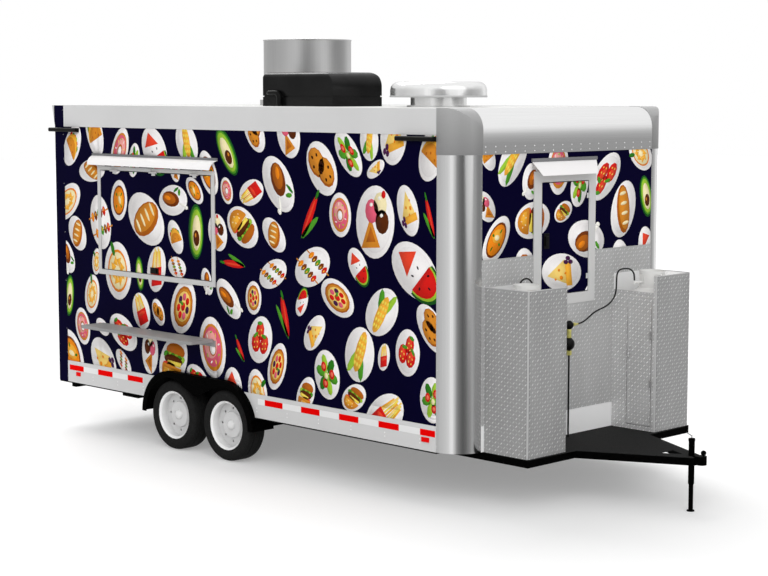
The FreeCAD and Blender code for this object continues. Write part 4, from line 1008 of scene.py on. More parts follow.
def fries(p):
    """A fan of fries in a red tub."""
    for i in range(7):
        x, y = -0.36 + 0.12 * i, 0.26 + 0.08 * (i % 3)
        draw(p, ("amber", "lemon", "butter")[i % 3], 3 + i % 2, x, y, 0.1, 0.86, -12 + 4 * i, 4)
    draw(p, "red", 6, 0, -0.28, 0.96, 0.7, 0, 4)
    draw(p, "tomato", 7, 0, -0.12, 0.8, 0.2, 0, 10)


def drumstick(p):
    """A roast leg with herbs."""
    draw(p, "milk", 3, 0.5, -0.5, 0.62, 0.16, -45, 6)
    draw(p, "milk", 4, 0.7, -0.62, 0.22, 0.2, 0, 8)
    draw(p, "roast", 5, -0.12, 0.1, 1.1, 0.84, -42, 14)
    draw(p, "toast", 6, -0.18, 0.18, 0.86, 0.58, -42, 12)
    draw(p, "orange", 7, -0.26, 0.26, 0.44, 0.24, -42, 8)
    draw(p, "herb", 8, -0.5, -0.4, 0.42, 0.16, 70, 6)
    draw(p, "leaf", 8, -0.28, -0.52, 0.42, 0.16, 20, 6)


def skewer(p):
    """Two skewers of meat and vegetables."""
    for y in (-0.3, 0.28):
        draw(p, "crust", 3, 0, y, 1.8, 0.05, 14, 4)
        for i, colour in enumerate(("red", "roast", "leaf", "roast", "orange")):
            draw(p, colour, 4, -0.52 + 0.26 * i, y - 0.13 + 0.065 * i, 0.26, 0.34, 14, 6)
            draw(p, "amber", 5, -0.54 + 0.26 * i, y - 0.09 + 0.065 * i, 0.08, 0.14, 14, 5)


print("pictures so far: 13")

# %% [markdown]
# ### Vegetables, soup and cheese
# These carry the greens. Two of them lie on the navy with no plate under
# them, which keeps the pattern from looking stamped.

# %% Pictures of vegetables, soup and cheese
def salad(p):
    """Leaves with tomato and cucumber."""
    for i, (x, y, turn) in enumerate(around(6, 0.42)):
        draw(p, ("leaf", "lime", "herb")[i % 3], 3, x, y, 0.66, 0.4, turn, 8)
    for x, y, turn in around(3, 0.34, 40):
        draw(p, "red", 5, x, y, 0.36, 0.36, turn, 10)
        draw(p, "coral", 6, x, y, 0.2, 0.2, turn, 6)
    draw(p, "lime", 5, 0.04, -0.06, 0.36, 0.36, 0, 12)
    draw(p, "cream", 6, 0.04, -0.06, 0.24, 0.24, 0, 8)


def soup(p):
    """A bowl from above, with cream and herbs."""
    draw(p, "roast", 3, 0, 0, 1.3, 1.3, 0, 20)
    draw(p, "orange", 4, 0, 0, 1.14, 1.14, 0, 18)
    draw(p, "amber", 5, -0.1, 0.1, 0.74, 0.5, 30, 12)
    draw(p, "cream", 6, -0.06, 0.06, 0.4, 0.2, 30, 10)
    for x, y, turn in around(4, 0.36, 15):
        draw(p, "herb", 6, x, y, 0.2, 0.1, turn, 6)


def cheese(p):
    """A wedge with holes, and three grapes."""
    draw(p, "butter", 3, -0.06, 0.06, 1.42, 1.2, 8, 3)
    draw(p, "amber", 4, -0.1, -0.3, 1.1, 0.26, 0, 4)
    for x, y, size in ((-0.26, 0.04, 0.2), (0.1, 0.12, 0.14), (-0.06, -0.16, 0.12), (-0.32, 0.3, 0.12)):
        draw(p, "orange", 5, x, y, size, size * 0.8, 0, 8)
    for x, y, turn in around(3, 0.12):
        draw(p, "plum", 5, 0.52 + x, -0.32 + y, 0.22, 0.22, turn, 8)


def corn(p):
    """A cob in its leaves."""
    draw(p, "leaf", 3, -0.22, -0.3, 1.0, 0.36, 62, 8)
    draw(p, "lime", 3, 0.26, -0.32, 1.0, 0.34, 112, 8)
    draw(p, "amber", 4, 0, 0.1, 0.56, 1.4, 0, 14)
    for i in range(5):
        for j in (-1, 0, 1):
            draw(p, "lemon", 5, 0.15 * j, -0.34 + 0.22 * i, 0.12, 0.16, 0, 6)


def avocado(p):
    """Half an avocado with its stone."""
    draw(p, "rind", 1, 0, 0, 1.2, 1.86, 0, 20)
    draw(p, "leaf", 2, 0.03, 0, 1.04, 1.7, 0, 18)
    draw(p, "lime", 3, 0.04, 0, 0.9, 1.54, 0, 16)
    draw(p, "cream", 4, 0.05, -0.02, 0.66, 1.2, 0, 14)
    draw(p, "cocoa", 5, 0.05, -0.2, 0.5, 0.54, 0, 12)
    draw(p, "crust", 6, -0.02, -0.12, 0.14, 0.16, 0, 6)


def chilli(p):
    """A long chilli and its leaf."""
    draw(p, "red", 2, 0, 0.1, 0.44, 1.5, 14, 12)
    draw(p, "tomato", 3, -0.04, 0.16, 0.14, 1.1, 14, 8)
    draw(p, "herb", 4, -0.2, 0.86, 0.4, 0.18, 100, 6)
    draw(p, "leaf", 2, 0.3, -0.1, 0.3, 1.2, -16, 10)


print("pictures in all: 19")

# %% [markdown]
# ### Plates, and one print for each picture
# Each plate is white with a greyer rim round its well. Two of the
# pictures have no plate.

# %% Make each picture once
helping = 1.14
on_plate = [doughnut, citrus, melon, tart, loaf, cookie, ices, berries, burger, taco, fries, drumstick,
            skewer, salad, soup, cheese, corn]
off_plate = [avocado, chilli]


def printed(picture, plate=True):
    """One picture as a flat bmesh of radius 1, with its plate under it."""
    shape = bmesh.new()
    shape.loops.layers.float_color.new("ink")
    if plate:
        draw(shape, "plate", 0, 0, 0, 2.0, 2.0, 0, 28)
        draw(shape, "rim", 1, 0.01, -0.02, 1.66, 1.66, 0, 22)
        draw(shape, "well", 2, 0, 0, 1.62, 1.62, 0, 22)
    food = bmesh.new()
    food.loops.layers.float_color.new("ink")
    picture(food)
    use_up(shape, food, Matrix.Diagonal((helping, helping, 1, 1)))
    return shape


prints = [printed(f) for f in on_plate] + [printed(f, plate=False) for f in off_plate]
print("faces in each print:", [len(p.faces) for p in prints])

# %% [markdown]
# ## Hanging the wrap
# The plates are thrown onto the wall one at a time, large ones first, and a
# plate that would touch another is thrown again. Most stand upright with a
# small lean, as on the real wrap. The seed is fixed, so that the wrap comes
# out the same each time.

# %% Throw the plates
wrap_seed = 20
plate_sizes = [(0.25, 14), (0.215, 26), (0.18, 30), (0.145, 30), (0.115, 26)]  # half height, number in 10 m2
plate_gap = 0.02
tries_each = 70
usual_lean, lean_spread = 22, 26
lying_share = 0.16
size_range, narrowness = (0.88, 1.1), (0.5, 0.74)


def reach_of(plate):
    """Three circles that cover an oval plate."""
    x, y, tall, wide, lean = plate
    ux, uy = -math.sin(lean), math.cos(lean)
    step = tall - wide
    return [(x + ux * step * k, y + uy * step * k, wide * (1.0 if k == 0 else 0.92)) for k in (-1, 0, 1)]


def clear_of(plate, others):
    """Whether a plate keeps the gap to all the others."""
    mine = reach_of(plate)
    for other in others:
        if math.hypot(plate[0] - other[0], plate[1] - other[1]) > plate[2] + other[2] + plate_gap:
            continue
        for ax, ay, ar in mine:
            for bx, by, br in reach_of(other):
                if math.hypot(ax - bx, ay - by) < ar + br + plate_gap:
                    return False
    return True


def lay_plates(low, high, seed):
    """Oval plates (x, y, half height, half width, lean) that fill a wall without touching."""
    chance = random.Random(seed)
    area = (high[0] - low[0]) * (high[1] - low[1])
    laid = []
    for half, per_ten in plate_sizes:
        wanted = round(per_ten * area / 10)
        for _ in range(wanted * tries_each):
            if wanted == 0:
                break
            lean = math.radians(chance.gauss(usual_lean, lean_spread))
            if chance.random() < lying_share:
                lean += math.pi / 2
            size = half * chance.uniform(*size_range)
            plate = (chance.uniform(low[0], high[0]), chance.uniform(low[1], high[1]), size,
                     size * chance.uniform(*narrowness), lean)
            if clear_of(plate, laid):
                laid.append(plate)
                wanted -= 1
    return laid


print("plate sizes:", len(plate_sizes))

# %% [markdown]
# Each plate then gets its picture. The pictures come in a shuffled order,
# mirrored and tipped at random, so that two of the same don't look alike.

# %% Print one wall's sheet
picture_tilt = 25


def wrap_sheet(low, high, seed):
    """All pictures of one wall, flat, in the wall's own x and y."""
    chance = random.Random(seed + 1)
    sheet = bmesh.new()
    sheet.loops.layers.float_color.new("ink")
    order = list(range(len(prints)))
    chance.shuffle(order)
    plates = lay_plates(low, high, seed)
    for i, (x, y, tall, wide, lean) in enumerate(plates):
        mirror = chance.choice((-1, 1))
        turn = Matrix.Rotation(lean, 4, "Z")
        tip = Matrix.Rotation(math.radians(chance.uniform(-picture_tilt, picture_tilt)), 4, "Z")
        size = Matrix.Diagonal((wide * mirror, tall, ink_step, 1))
        put(sheet, prints[order[i % len(order)]], Matrix.Translation((x, y, 0)) @ turn @ size @ tip)
    face_up(sheet)
    print("plates on the sheet:", len(plates))
    return sheet


print("a picture is tipped by up to", picture_tilt, "degrees")

# %% [markdown]
# ## Cutting the sheet to the panels
# A fitter lays the sheet over the whole wall and trims it at the frames. The
# flat sheet is cut the same way: each panel takes the part of the sheet that
# lies over it, between four cuts or more, and is lifted to the panel's own
# skin. Solidify then gives the film its thickness, inwards.

# %% Trim the sheet and press it on
film_lift = 0.0002
film_thickness = 0.0001


def trimmed(sheet, x0, x1, y0, y1, more=()):
    """The part of the sheet inside a rectangle; more lists further cuts, as places and outward ways."""
    cut = sheet.copy()
    sides = [((x0, 0, 0), (-1, 0, 0)), ((x1, 0, 0), (1, 0, 0)),
             ((0, y0, 0), (0, -1, 0)), ((0, y1, 0), (0, 1, 0))]
    for place, way in sides + list(more):
        bmesh.ops.bisect_plane(cut, geom=whole(cut), plane_co=place, plane_no=way, clear_outer=True)
    return cut


def on_wall(wall, skin):
    """The place of a flat sheet on a wall whose outer skin is at the given distance."""
    ways = {"right": ((1, 0, 0), (0, -1, 0)), "left": ((-1, 0, 0), (0, 1, 0)),
            "front": ((0, 1, 0), (1, 0, 0)), "rear": ((0, -1, 0), (-1, 0, 0))}
    level, outward = ways[wall]
    place = Matrix((level, (0, 0, 1), outward)).transposed().to_4x4()
    place.translation = Vector(outward) * (skin + film_lift)
    return place


def press_on(name, sheet, wall, skin, panels, body):
    """Cut a sheet to a list of panels (x0, x1, y0, y1, more cuts) and stick it to a wall."""
    film = bmesh.new()
    film.loops.layers.float_color.new("ink")
    for panel in panels:
        use_up(film, trimmed(sheet, *panel), on_wall(wall, skin))
    made = piece(name, film, ink, body, outward=False)
    thick = made.modifiers.new("film", "SOLIDIFY")
    thick.thickness = film_thickness
    thick.offset = -1
    return made


print("film", film_thickness * 1000, "mm thick")

# %% [markdown]
# Over the wheels the film follows the round arch of the fender. Each quarter
# of it is a fan of wedges. A wedge lies between two rays from the wheel's
# centre, and a straight cut that touches the arch in its middle takes off its
# inner end. Six are enough to look round.

# %% Wedges over the wheel arch
arch_radius = 0.375
arch_facets = 6
wheel_front_x = sum(corner.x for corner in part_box("tyre_front_right")) / 2
wheel_rear_x = sum(corner.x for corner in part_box("tyre_rear_right")) / 2
wheel_z = sum(corner.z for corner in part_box("tyre_front_right")) / 2
arch_x0, arch_x1 = wheel_rear_x - arch_radius, wheel_front_x + arch_radius
arch_z = wheel_z + arch_radius


def arch_corner(x, z, forward, bottom):
    """Panels over one end of the wheel arch: wedges of film outside the round cut."""
    start = math.asin((bottom - z) / arch_radius)
    panels = []
    for i in range(arch_facets):
        low_angle = start + (math.pi / 2 - start) * i / arch_facets
        high_angle = start + (math.pi / 2 - start) * (i + 1) / arch_facets
        middle = (low_angle + high_angle) / 2
        out = (forward * math.cos(middle), math.sin(middle), 0)
        rim = (x + out[0] * arch_radius, z + out[1] * arch_radius, 0)
        below = (forward * math.sin(low_angle), -math.cos(low_angle), 0)
        above = (-forward * math.sin(high_angle), math.cos(high_angle), 0)
        cuts = [(rim, (-out[0], -out[1], 0)), ((x, z, 0), above)]
        if i > 0:
            cuts.append(((x, z, 0), below))
        edge = x + forward * arch_radius
        panels.append((min(x, edge), max(x, edge), bottom, z + arch_radius, cuts))
    return panels


def arch_corners(front, rear, forward):
    """The wedges over both wheels of a side."""
    return arch_corner(front, wheel_z, forward, skirt_top) + arch_corner(rear, wheel_z, -forward, skirt_top)


print("arch from", round(arch_x0, 3), "to", round(arch_x1, 3))

# %% [markdown]
# The right side's sheet runs round the hatch's frame, and the hatch carries
# the piece that lies over it, so the print stays whole when it is shut. The
# left side has no opening. Its sheet is another throw of the plates.

# %% Wrap both sides
panel_proud = 0.008
hinge_strip = 0.011

window_low, window_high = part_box("window_frame")
hatch_low, hatch_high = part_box("serving_hatch")
right_sheet = wrap_sheet((rear_trim_x, skirt_top), (post_x, band_low), wrap_seed)
wx0, wx1, wz0, wz1 = window_low.x, window_high.x, window_low.z, window_high.z
side_panels = [
    (rear_trim_x, wx0, arch_z, band_low), (wx1, post_x, arch_z, band_low),
    (wx0, wx1, wz1, band_low), (wx0, wx1, arch_z, wz0),
    (rear_trim_x, arch_x0, skirt_top, arch_z), (arch_x1, post_x, skirt_top, arch_z),
]
side_panels += arch_corners(wheel_front_x, wheel_rear_x, 1)
press_on("wrap_print_right", right_sheet, "right", half_width, side_panels, "chassis")
hatch_panel = (hatch_low.x, hatch_high.x, hatch_low.z, hatch_high.z - hinge_strip)
press_on("wrap_print_hatch", right_sheet, "right", half_width + panel_proud, [hatch_panel], "serving_hatch")

left_sheet = wrap_sheet((-post_x, skirt_top), (-rear_trim_x, band_low), wrap_seed + 7)
left_panels = [(-post_x, -rear_trim_x, arch_z, band_low), (-post_x, -arch_x1, skirt_top, arch_z),
               (-arch_x0, -rear_trim_x, skirt_top, arch_z)]
left_panels += arch_corners(-wheel_front_x, -wheel_rear_x, -1)
press_on("wrap_print_left", left_sheet, "left", half_width, left_panels, "chassis")

# %% [markdown]
# The front and rear walls are trimmed round their doors in the same way, and
# each door gets its own piece of film, because it has to swing with the door.
# A strip along each hinge stays bare for its leaf.

# %% Wrap the end walls
front_frame_low, front_frame_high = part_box("front_frame")
door_low, door_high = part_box("front_door")
front_sheet = wrap_sheet((-front_half, guard_top - 0.4), (front_half, cap_low), wrap_seed + 3)
fy0, fy1, fz1 = front_frame_low.y, front_frame_high.y, front_frame_high.z
front_panels = [(-front_half, fy0, guard_top, cap_low), (fy1, front_half, guard_top, cap_low),
                (fy0, fy1, fz1, cap_low)]
press_on("wrap_print_front", front_sheet, "front", front_x, front_panels, "chassis")
door_panel = (door_low.y, door_high.y - hinge_strip, door_low.z, door_high.z)
press_on("wrap_print_front_door", front_sheet, "front", front_x + panel_proud, [door_panel], "front_door")

entrance_low, entrance_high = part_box("entrance_frame")
leaf_low, leaf_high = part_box("entrance_door")
rear_sheet = wrap_sheet((-rear_half, skirt_top), (rear_half, band_low), wrap_seed + 5)
rear_panels = [(-rear_half, -entrance_high.y, skirt_top, band_low),
               (-entrance_low.y, rear_half, skirt_top, band_low),
               (-entrance_high.y, -entrance_low.y, entrance_high.z, band_low)]
press_on("wrap_print_rear", rear_sheet, "rear", -rear_x, rear_panels, "chassis")
leaf_panel = (-leaf_high.y, -leaf_low.y - hinge_strip, leaf_low.z, leaf_high.z)
press_on("wrap_print_entrance", rear_sheet, "rear", -rear_x + panel_proud, [leaf_panel], "entrance_door")
for used in [right_sheet, left_sheet, front_sheet, rear_sheet] + prints:
    used.free()
print("walls wrapped: 4")

# %% [markdown]
# ## Rivets
# Box trailers are held together by rivets along every trim: up the edges of
# the corner posts, along the nose, and in two lines along the skirts. Each is
# a low dome, 10 mm across on the skirts, 9 mm on the nose and 7 mm on the
# posts. One dome is turned once and repeated along each line, so a few
# hundred cost little.

# %% Rows of rivets
rivet_radius = 0.0050
rivet_height = 0.0020
post_rivets = 0.135
nose_rivets = 0.105
skirt_rivets = 0.363
rear_rivets = 0.21


def row(start, end, spacing):
    """Evenly spaced points from start to end."""
    run = Vector(end) - Vector(start)
    count = max(1, round(run.length / spacing))
    return [Vector(start) + run * (i / count) for i in range(count + 1)]


def studs(rows, radius, height):
    """Low domes on points; rows is a list of (points, outward direction)."""
    r, h = radius, height
    dome = turned_part([(0, h), (0.45 * r, 0.9 * h), (0.8 * r, 0.55 * h), (r, 0), (r, -h), (0, -h)], 8)
    many = bmesh.new()
    for points, outward in rows:
        for point in points:
            put(many, dome, turning(outward, point))
    dome.free()
    return many


print("rivets stand", rivet_height * 1000, "mm proud")

# %% [markdown]
# The lines start and end where the photograph shows them: up both edges of
# the front posts, up the rear corners, twice along each skirt before and
# behind the wheels, and twice across the nose.

# %% Set the rivets
posts_inset, rear_inset = 0.006, 0.012
skirt_skin, nose_skin = 0.004, 0.003
post_foot, post_head = 0.045, 0.03
skirt_lines, nose_lines = (0.050, 0.078), (0.018, 0.056)
skirt_ends = ((-5.546, -4.82), (-3.333, -1.522))
forward = (1, 0, 0)
trim_rows, skirt_rows, nose_rows = [], [], []
for side in (-1, 1):
    y = side * half_width
    out = (0, side, 0)
    x, z0, z1 = post_x + posts_inset, sill_low + post_foot, cap_low - post_head
    trim_rows.append((row((x, y, z0), (x, y, z1), post_rivets), out))
    edge_y = side * (front_half + posts_inset)
    trim_rows.append((row((front_x, edge_y, z0), (front_x, edge_y, z1), post_rivets * 0.72), forward))
    x = rear_trim_x - rear_inset
    trim_rows.append((row((x, y, z0), (x, y, roof_top - 0.04), rear_rivets), out))
    for line in skirt_lines:
        for x0, x1 in skirt_ends:
            skin_y, z = y + side * skirt_skin, sill_low + line
            skirt_rows.append((row((x0, skin_y, z), (x1, skin_y, z), skirt_rivets), out))
for line in nose_lines:
    x, y, z = front_x + nose_skin, front_half - 0.03, cap_low + line
    nose_rows.append((row((x, -y, z), (x, y, z), nose_rivets), forward))
z0, z1 = sill_low + 0.08, band_low - 0.06
for y in (rear_half - 0.02, 0.02 - rear_half):
    trim_rows.append((row((rear_x, y, z0), (rear_x, y, z1), rear_rivets), (-1, 0, 0)))
# The skirt and nose rivets carry the painted highlight.
for name, rows, share, height, material in (
        ("trim_rivets", trim_rows, 0.7, rivet_height * 0.6, post_metal),
        ("skirt_rivets", skirt_rows, 1.0, rivet_height, rivet_highlight_paint),
        ("nose_rivets", nose_rows, 0.9, rivet_height, rivet_highlight_paint)):
    piece(name, studs(rows, rivet_radius * share, height), material, "chassis")

# %% [markdown]
# ## Reflective tape on the skirts
# Road rules ask for bands of red and white reflective tape along a long
# trailer. Its red pieces are about 210 mm long and 47 mm tall. White ones
# fill the gaps between close neighbours, and longer stretches stay plain. The
# tape is a little thicker here than the real film, so that it never flickers
# against the paint, and it stops at the corner post.

# %% Reflective tape
red_length = 0.213
red_starts = (-4.763, -4.334, -3.902, -2.101, -1.673, -1.243, -0.815, -0.385)
white_before_wheels = (-2.185, -2.101)
longest_step = 0.6
tape_z = (sill_low + 0.109, sill_low + 0.156)
tape_thickness = 0.0006

wall_end = post_x - front_x - 0.004
red_bits = [(x, min(x + red_length, wall_end)) for x in red_starts]
white_bits = [(a + red_length, b) for a, b in zip(red_starts, red_starts[1:]) if b - a < longest_step]
white_bits.append(white_before_wheels)
for colour, material, lengths in (("red", tape_red, red_bits), ("white", tape_white, white_bits)):
    strip = bmesh.new()
    for side in (-1, 1):
        for start, end in lengths:
            y0 = side * (half_width + skirt_skin)
            y1 = y0 + side * tape_thickness
            low_y, high_y = min(y0, y1), max(y0, y1)
            use_up(strip, block((front_x + start, low_y, tape_z[0]), (front_x + end, high_y, tape_z[1])))
    piece("tape_" + colour, strip, material, "chassis")

# %% [markdown]
# ## Tyres
# A trailer tyre is a plain ring: a flat tread with two straight grooves, a
# large round shoulder and a bulging side wall. Its section is drawn once and
# spun round the axle. The tread's edges carry small drain notches: every
# third face of the shoulder is inset and pushed in, which keeps the tyre
# closed. It replaces the plain tyre and keeps its size.

# %% Tyres with tread
tyre_steps = 84
groove_depth = 0.005
groove_width = 0.006
groove_place = 0.030
notch_depth, notch_inset, notch_step = 0.002, 0.0014, 3
side_wall = 0.0995


def tyre_section(outer, rim, half):
    """The tyre's section as (radius, across) points, from the outer bead to the inner one."""
    side = [
        (rim, half * 0.74), (rim + 0.012, half * 0.85), (rim + 0.026, half * 0.96), (rim + 0.044, half),
        (rim + 0.060, half * 0.99), (outer - 0.024, half * 0.95), (outer - 0.014, half * 0.89),
        (outer - 0.0065, half * 0.80), (outer - 0.0022, half * 0.68), (outer - 0.0004, half * 0.54),
    ]
    far, near, floor = groove_place + groove_width / 2, groove_place - groove_width / 2, outer - groove_depth
    tread = [(outer, far), (floor, far - 0.001), (floor, near + 0.001), (outer, near)]
    return both_ways(side + tread)


def shoulder_notches(shape, centre, outer, half):
    """Push in every third face round both edges of the tread."""
    notched = []
    for face in shape.faces:
        middle = face.calc_center_median() - centre
        radius = math.hypot(middle.x, middle.z)
        place = round(math.atan2(middle.z, middle.x) / (2 * math.pi) * tyre_steps - 0.5)
        on_edge = radius > outer - 0.006 and half * 0.66 < abs(middle.y) < half * 0.82
        if on_edge and place % notch_step == 0:
            notched.append(face)
    made = bmesh.ops.inset_individual(shape, faces=notched, thickness=notch_inset, depth=-notch_depth)
    return len(made["faces"])


for wheel in ("front_left", "front_right", "rear_left", "rear_right"):
    low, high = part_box("tyre_" + wheel)
    centre = (low + high) / 2
    outer = (high.z - low.z) / 2
    half = (high.y - low.y) / 2
    section = tyre_section(outer, outer - side_wall, half)
    shape = bmesh.new()
    points = [shape.verts.new((centre.x + r, centre.y + a, centre.z)) for r, a in section]
    for a, b in zip(points, points[1:] + points[:1]):
        shape.edges.new((a, b))
    bmesh.ops.spin(shape, geom=whole(shape), axis=(0, 1, 0), cent=centre, angle=2 * math.pi, steps=tyre_steps,
                   use_merge=True)
    bmesh.ops.remove_doubles(shape, verts=shape.verts, dist=1e-5)
    bmesh.ops.recalc_face_normals(shape, faces=shape.faces[:])
    notches = shoulder_notches(shape, centre, outer, half)
    made = piece("tyre_tread_" + wheel, shape, rubber, "wheel_" + wheel)
    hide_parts("tyre_" + wheel)
    print("notches pushed in:", notches)

# %% [markdown]
# ## Valve stems
# A rubber valve stem comes through each wheel's dish near the rim. It is
# turned from a profile and faces outwards.

# %% Valve stems
valve_aside, valve_out = 0.118, 0.006

for wheel in ("front_left", "front_right", "rear_left", "rear_right"):
    low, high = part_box("wheel_" + wheel)
    side = 1 if wheel.endswith("left") else -1
    foot = (low + high) / 2 + Vector((valve_aside, side * valve_out, valve_aside))
    stem = turned_part([(0, 0.03), (0.0035, 0.029), (0.0045, 0.024), (0.0045, 0.01), (0.006, 0.008),
                        (0.006, -0.004), (0, -0.004)], 10)
    valve = bmesh.new()
    use_up(valve, stem, turning((0, side, 0), foot))
    piece("valve_" + wheel, valve, black_plastic, "wheel_" + wheel)

# %% [markdown]
# ## Gas hoses
# Two rubber gas hoses run from the regulator to the cylinders, which stand
# hidden in their cabinets. Each leaves its fitting straight, rises over the
# cabinet's low side in an arch and comes down onto the cylinder's outlet. A
# smooth curve through a few control points gives the even bends of a stiff
# hose: a NURBS spline of order 3 passes near its points and never kinks.

# %% Gas hoses
hose_diameter = 0.0125
hose_places = {  # mm ahead of the front wall, to the left, and above the sill
    "left": [(60, 0.2, 850), (60, 52, 850), (65, 115, 872), (70, 180, 912), (76, 245, 938), (84, 310, 953),
             (97, 366, 982), (113, 400, 1030), (124, 405, 1088), (129, 399, 1148), (131, 399, 1203),
             (134, 424, 1238), (138, 490, 1243), (142, 552, 1236), (145, 591, 1206), (146, 600.4, 1168),
             (146, 600.4, 1142.2)],
    "right": [(60, -156.2, 850), (60, -208, 850), (64, -270, 869), (68, -332, 905), (72, -390, 945),
              (77, -440, 992), (82, -482, 1045), (85, -514, 1100), (86.5, -531, 1150), (86, -534.5, 1200),
              (82, -574, 1239), (77, -629.5, 1239), (72.1, -669.2, 1200), (72.1, -669.2, 1142.2)],
}

for side, places in hose_places.items():
    curve = bpy.data.curves.new("gas_hose_line_" + side, "CURVE")
    curve.dimensions = "3D"
    curve.bevel_depth = hose_diameter / 2
    curve.bevel_resolution = 4
    curve.use_fill_caps = True
    spline = curve.splines.new("NURBS")
    spline.points.add(len(places) - 1)
    points = [Vector((front_x + x / 1000, y / 1000, sill_low + z / 1000)) for x, y, z in places]
    for knot, point in zip(spline.points, points):
        knot.co = (*point, 1)
    spline.order_u = 3
    spline.use_endpoint_u = True
    spline.resolution_u = 6
    hose = bpy.data.objects.new("gas_hose_line_" + side, curve)
    scene.collection.objects.link(hose)
    curve.materials.append(hose_rubber)
    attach(hose, "chassis")
    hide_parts("gas_hose_" + side)
    print("hose", side, "control points", len(places))

# %% [markdown]
# ## Smooth light on the round solids
# Posts, tanks, wheels and hinge barrels come as solids with flat facets. The
# real ones are rolled, spun or drawn, and have none. Smooth shading bends the
# light across the facets without another face. A solid's triangles are loose,
# so a Weld modifier joins them first. Edge Split keeps every steep corner
# crisp, and Weighted Normal keeps the large flat sheets flat beside their
# rounded edges.

# %% Smooth shading on the solids
facet_angle = math.radians(38)
weld_reach = 0.00002

for name in sorted(nodes):
    solid = nodes[name]
    solid.data.polygons.foreach_set("use_smooth", [True] * len(solid.data.polygons))
    solid.modifiers.new("weld", "WELD").merge_threshold = weld_reach
    crisp = solid.modifiers.new("crisp", "EDGE_SPLIT")
    crisp.split_angle = facet_angle
    solid.modifiers.new("level", "WEIGHTED_NORMAL").keep_sharp = True
print("solids smoothed:", len(nodes))

# %% [markdown]
# ## Gas regulator
# Between the cabinets hangs a two-stage regulator: two black domed housings
# on a brass body, with a brass union where each hose starts. The domes are
# spun from a profile about the line that the housing was turned on. The brass
# parts are short hexagons and sleeves, as they are on the real fitting,
# because a fitter turns them with a spanner.

# %% Domes and brass of the regulator
regulator_low, regulator_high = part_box("regulators")
regulator_x = front_x + 0.060
regulator_y = (regulator_low.y + regulator_high.y) / 2
small_z, large_z = sill_low + 0.850, sill_low + 0.706
guard_face_x = front_x + 0.003
bracket_half, bracket_foot, bracket_top = 0.022, 0.690, 0.860
pipe_half, pipe_rise = 0.0068, 0.635

domes = bmesh.new()
for z, radius, half in ((small_z, 0.0335, 0.032), (large_z, 0.0485, 0.038)):
    profile = [(0, half), (radius * 0.42, half * 0.93), (radius * 0.76, half * 0.66),
               (radius * 0.95, half * 0.3), (radius, 0.006), (radius * 1.03, 0.004)]
    use_up(domes, turned_part(both_ways(profile), 28), turning((1, 0, 0), (regulator_x, regulator_y, z)))
use_up(domes, block((guard_face_x, regulator_y - bracket_half, sill_low + bracket_foot),
                    (regulator_x - 0.02, regulator_y + bracket_half, sill_low + bracket_top), 0.003))
down_pipe = turned_part([(0, 0), (pipe_half, 0), (pipe_half, pipe_rise), (0, pipe_rise)], 16)
use_up(domes, down_pipe, Matrix.Translation((regulator_x, regulator_y, sill_low)))
housing = piece("regulator_domes", domes, black_plastic, "chassis")
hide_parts("regulators")
print("regulator at", round(regulator_x, 3), round(regulator_y, 3))

# %% [markdown]
# Between the domes is a brass sleeve, below them the nut of the pipe, and at
# each side a union and the tail that the hose is pushed over.

# %% Brass fittings
sleeve_z, nut_z = sill_low + 0.786, sill_low + 0.640
union_out, tail_out = 0.058, 0.084


def hexagon(across, height):
    """A hexagonal nut blank on its own z axis, with its top corners chamfered."""
    shape = bmesh.new()
    radius = across / math.sqrt(3)
    bmesh.ops.create_cone(shape, cap_ends=True, segments=6, radius1=radius, radius2=radius, depth=height)
    ends = [f for f in shape.faces if abs(f.normal.z) > 0.9]
    rims = list({e for f in ends for e in f.edges})
    bmesh.ops.bevel(shape, geom=rims, offset=across * 0.05, segments=1, profile=0.5, affect="EDGES",
                    material=-1)
    return shape


fittings = bmesh.new()
sleeve_top = [(0, 0.033), (0.0165, 0.033), (0.018, 0.030), (0.018, 0.012), (0.0162, 0.010)]
sleeve = turned_part(both_ways(sleeve_top), 20)
use_up(fittings, sleeve, Matrix.Translation((regulator_x, regulator_y, sleeve_z)))
use_up(fittings, hexagon(0.036, 0.036), Matrix.Translation((regulator_x, regulator_y, nut_z)))
for side in (-1, 1):
    tail = turned_part([(0, 0.018), (0.0062, 0.018), (0.0075, 0.014), (0.0075, 0.009), (0.0062, 0.007),
                        (0.0075, 0.004), (0.0075, -0.016), (0, -0.016)], 16)
    for part, reach in ((hexagon(0.024, 0.024), union_out), (tail, tail_out)):
        use_up(fittings, part, turning((0, side, 0), (regulator_x, regulator_y + side * reach, small_z)))
piece("regulator_brass", fittings, brass, "chassis")

# %% [markdown]
# ## Edge trim on the gas cabinets
# The cut edges of the cabinets are capped with a thin folded strip of bare
# alloy, so that nobody is cut reaching for a valve. Round the top it is a box
# that has its two front corners bevelled and its middle taken out: both level
# faces are inset, the inner ones deleted, and their edges bridged. Where the
# low side leaves the top open, two cuts take the strip away.

# %% Cabinet edge trim
trim_wide = 0.0042
trim_tall = 0.005
trim_proud = 0.0006
low_side_drop = 0.130
corner_bend = 0.022
cabinet_near = 0.524


def capped_cut(shape, place, way):
    """Cut away what lies beyond a plane, and close the cut."""
    bmesh.ops.bisect_plane(shape, geom=whole(shape), plane_co=place, plane_no=way, clear_outer=True)
    open_edges = [e for e in shape.edges if e.is_boundary]
    bmesh.ops.holes_fill(shape, edges=open_edges, sides=0)


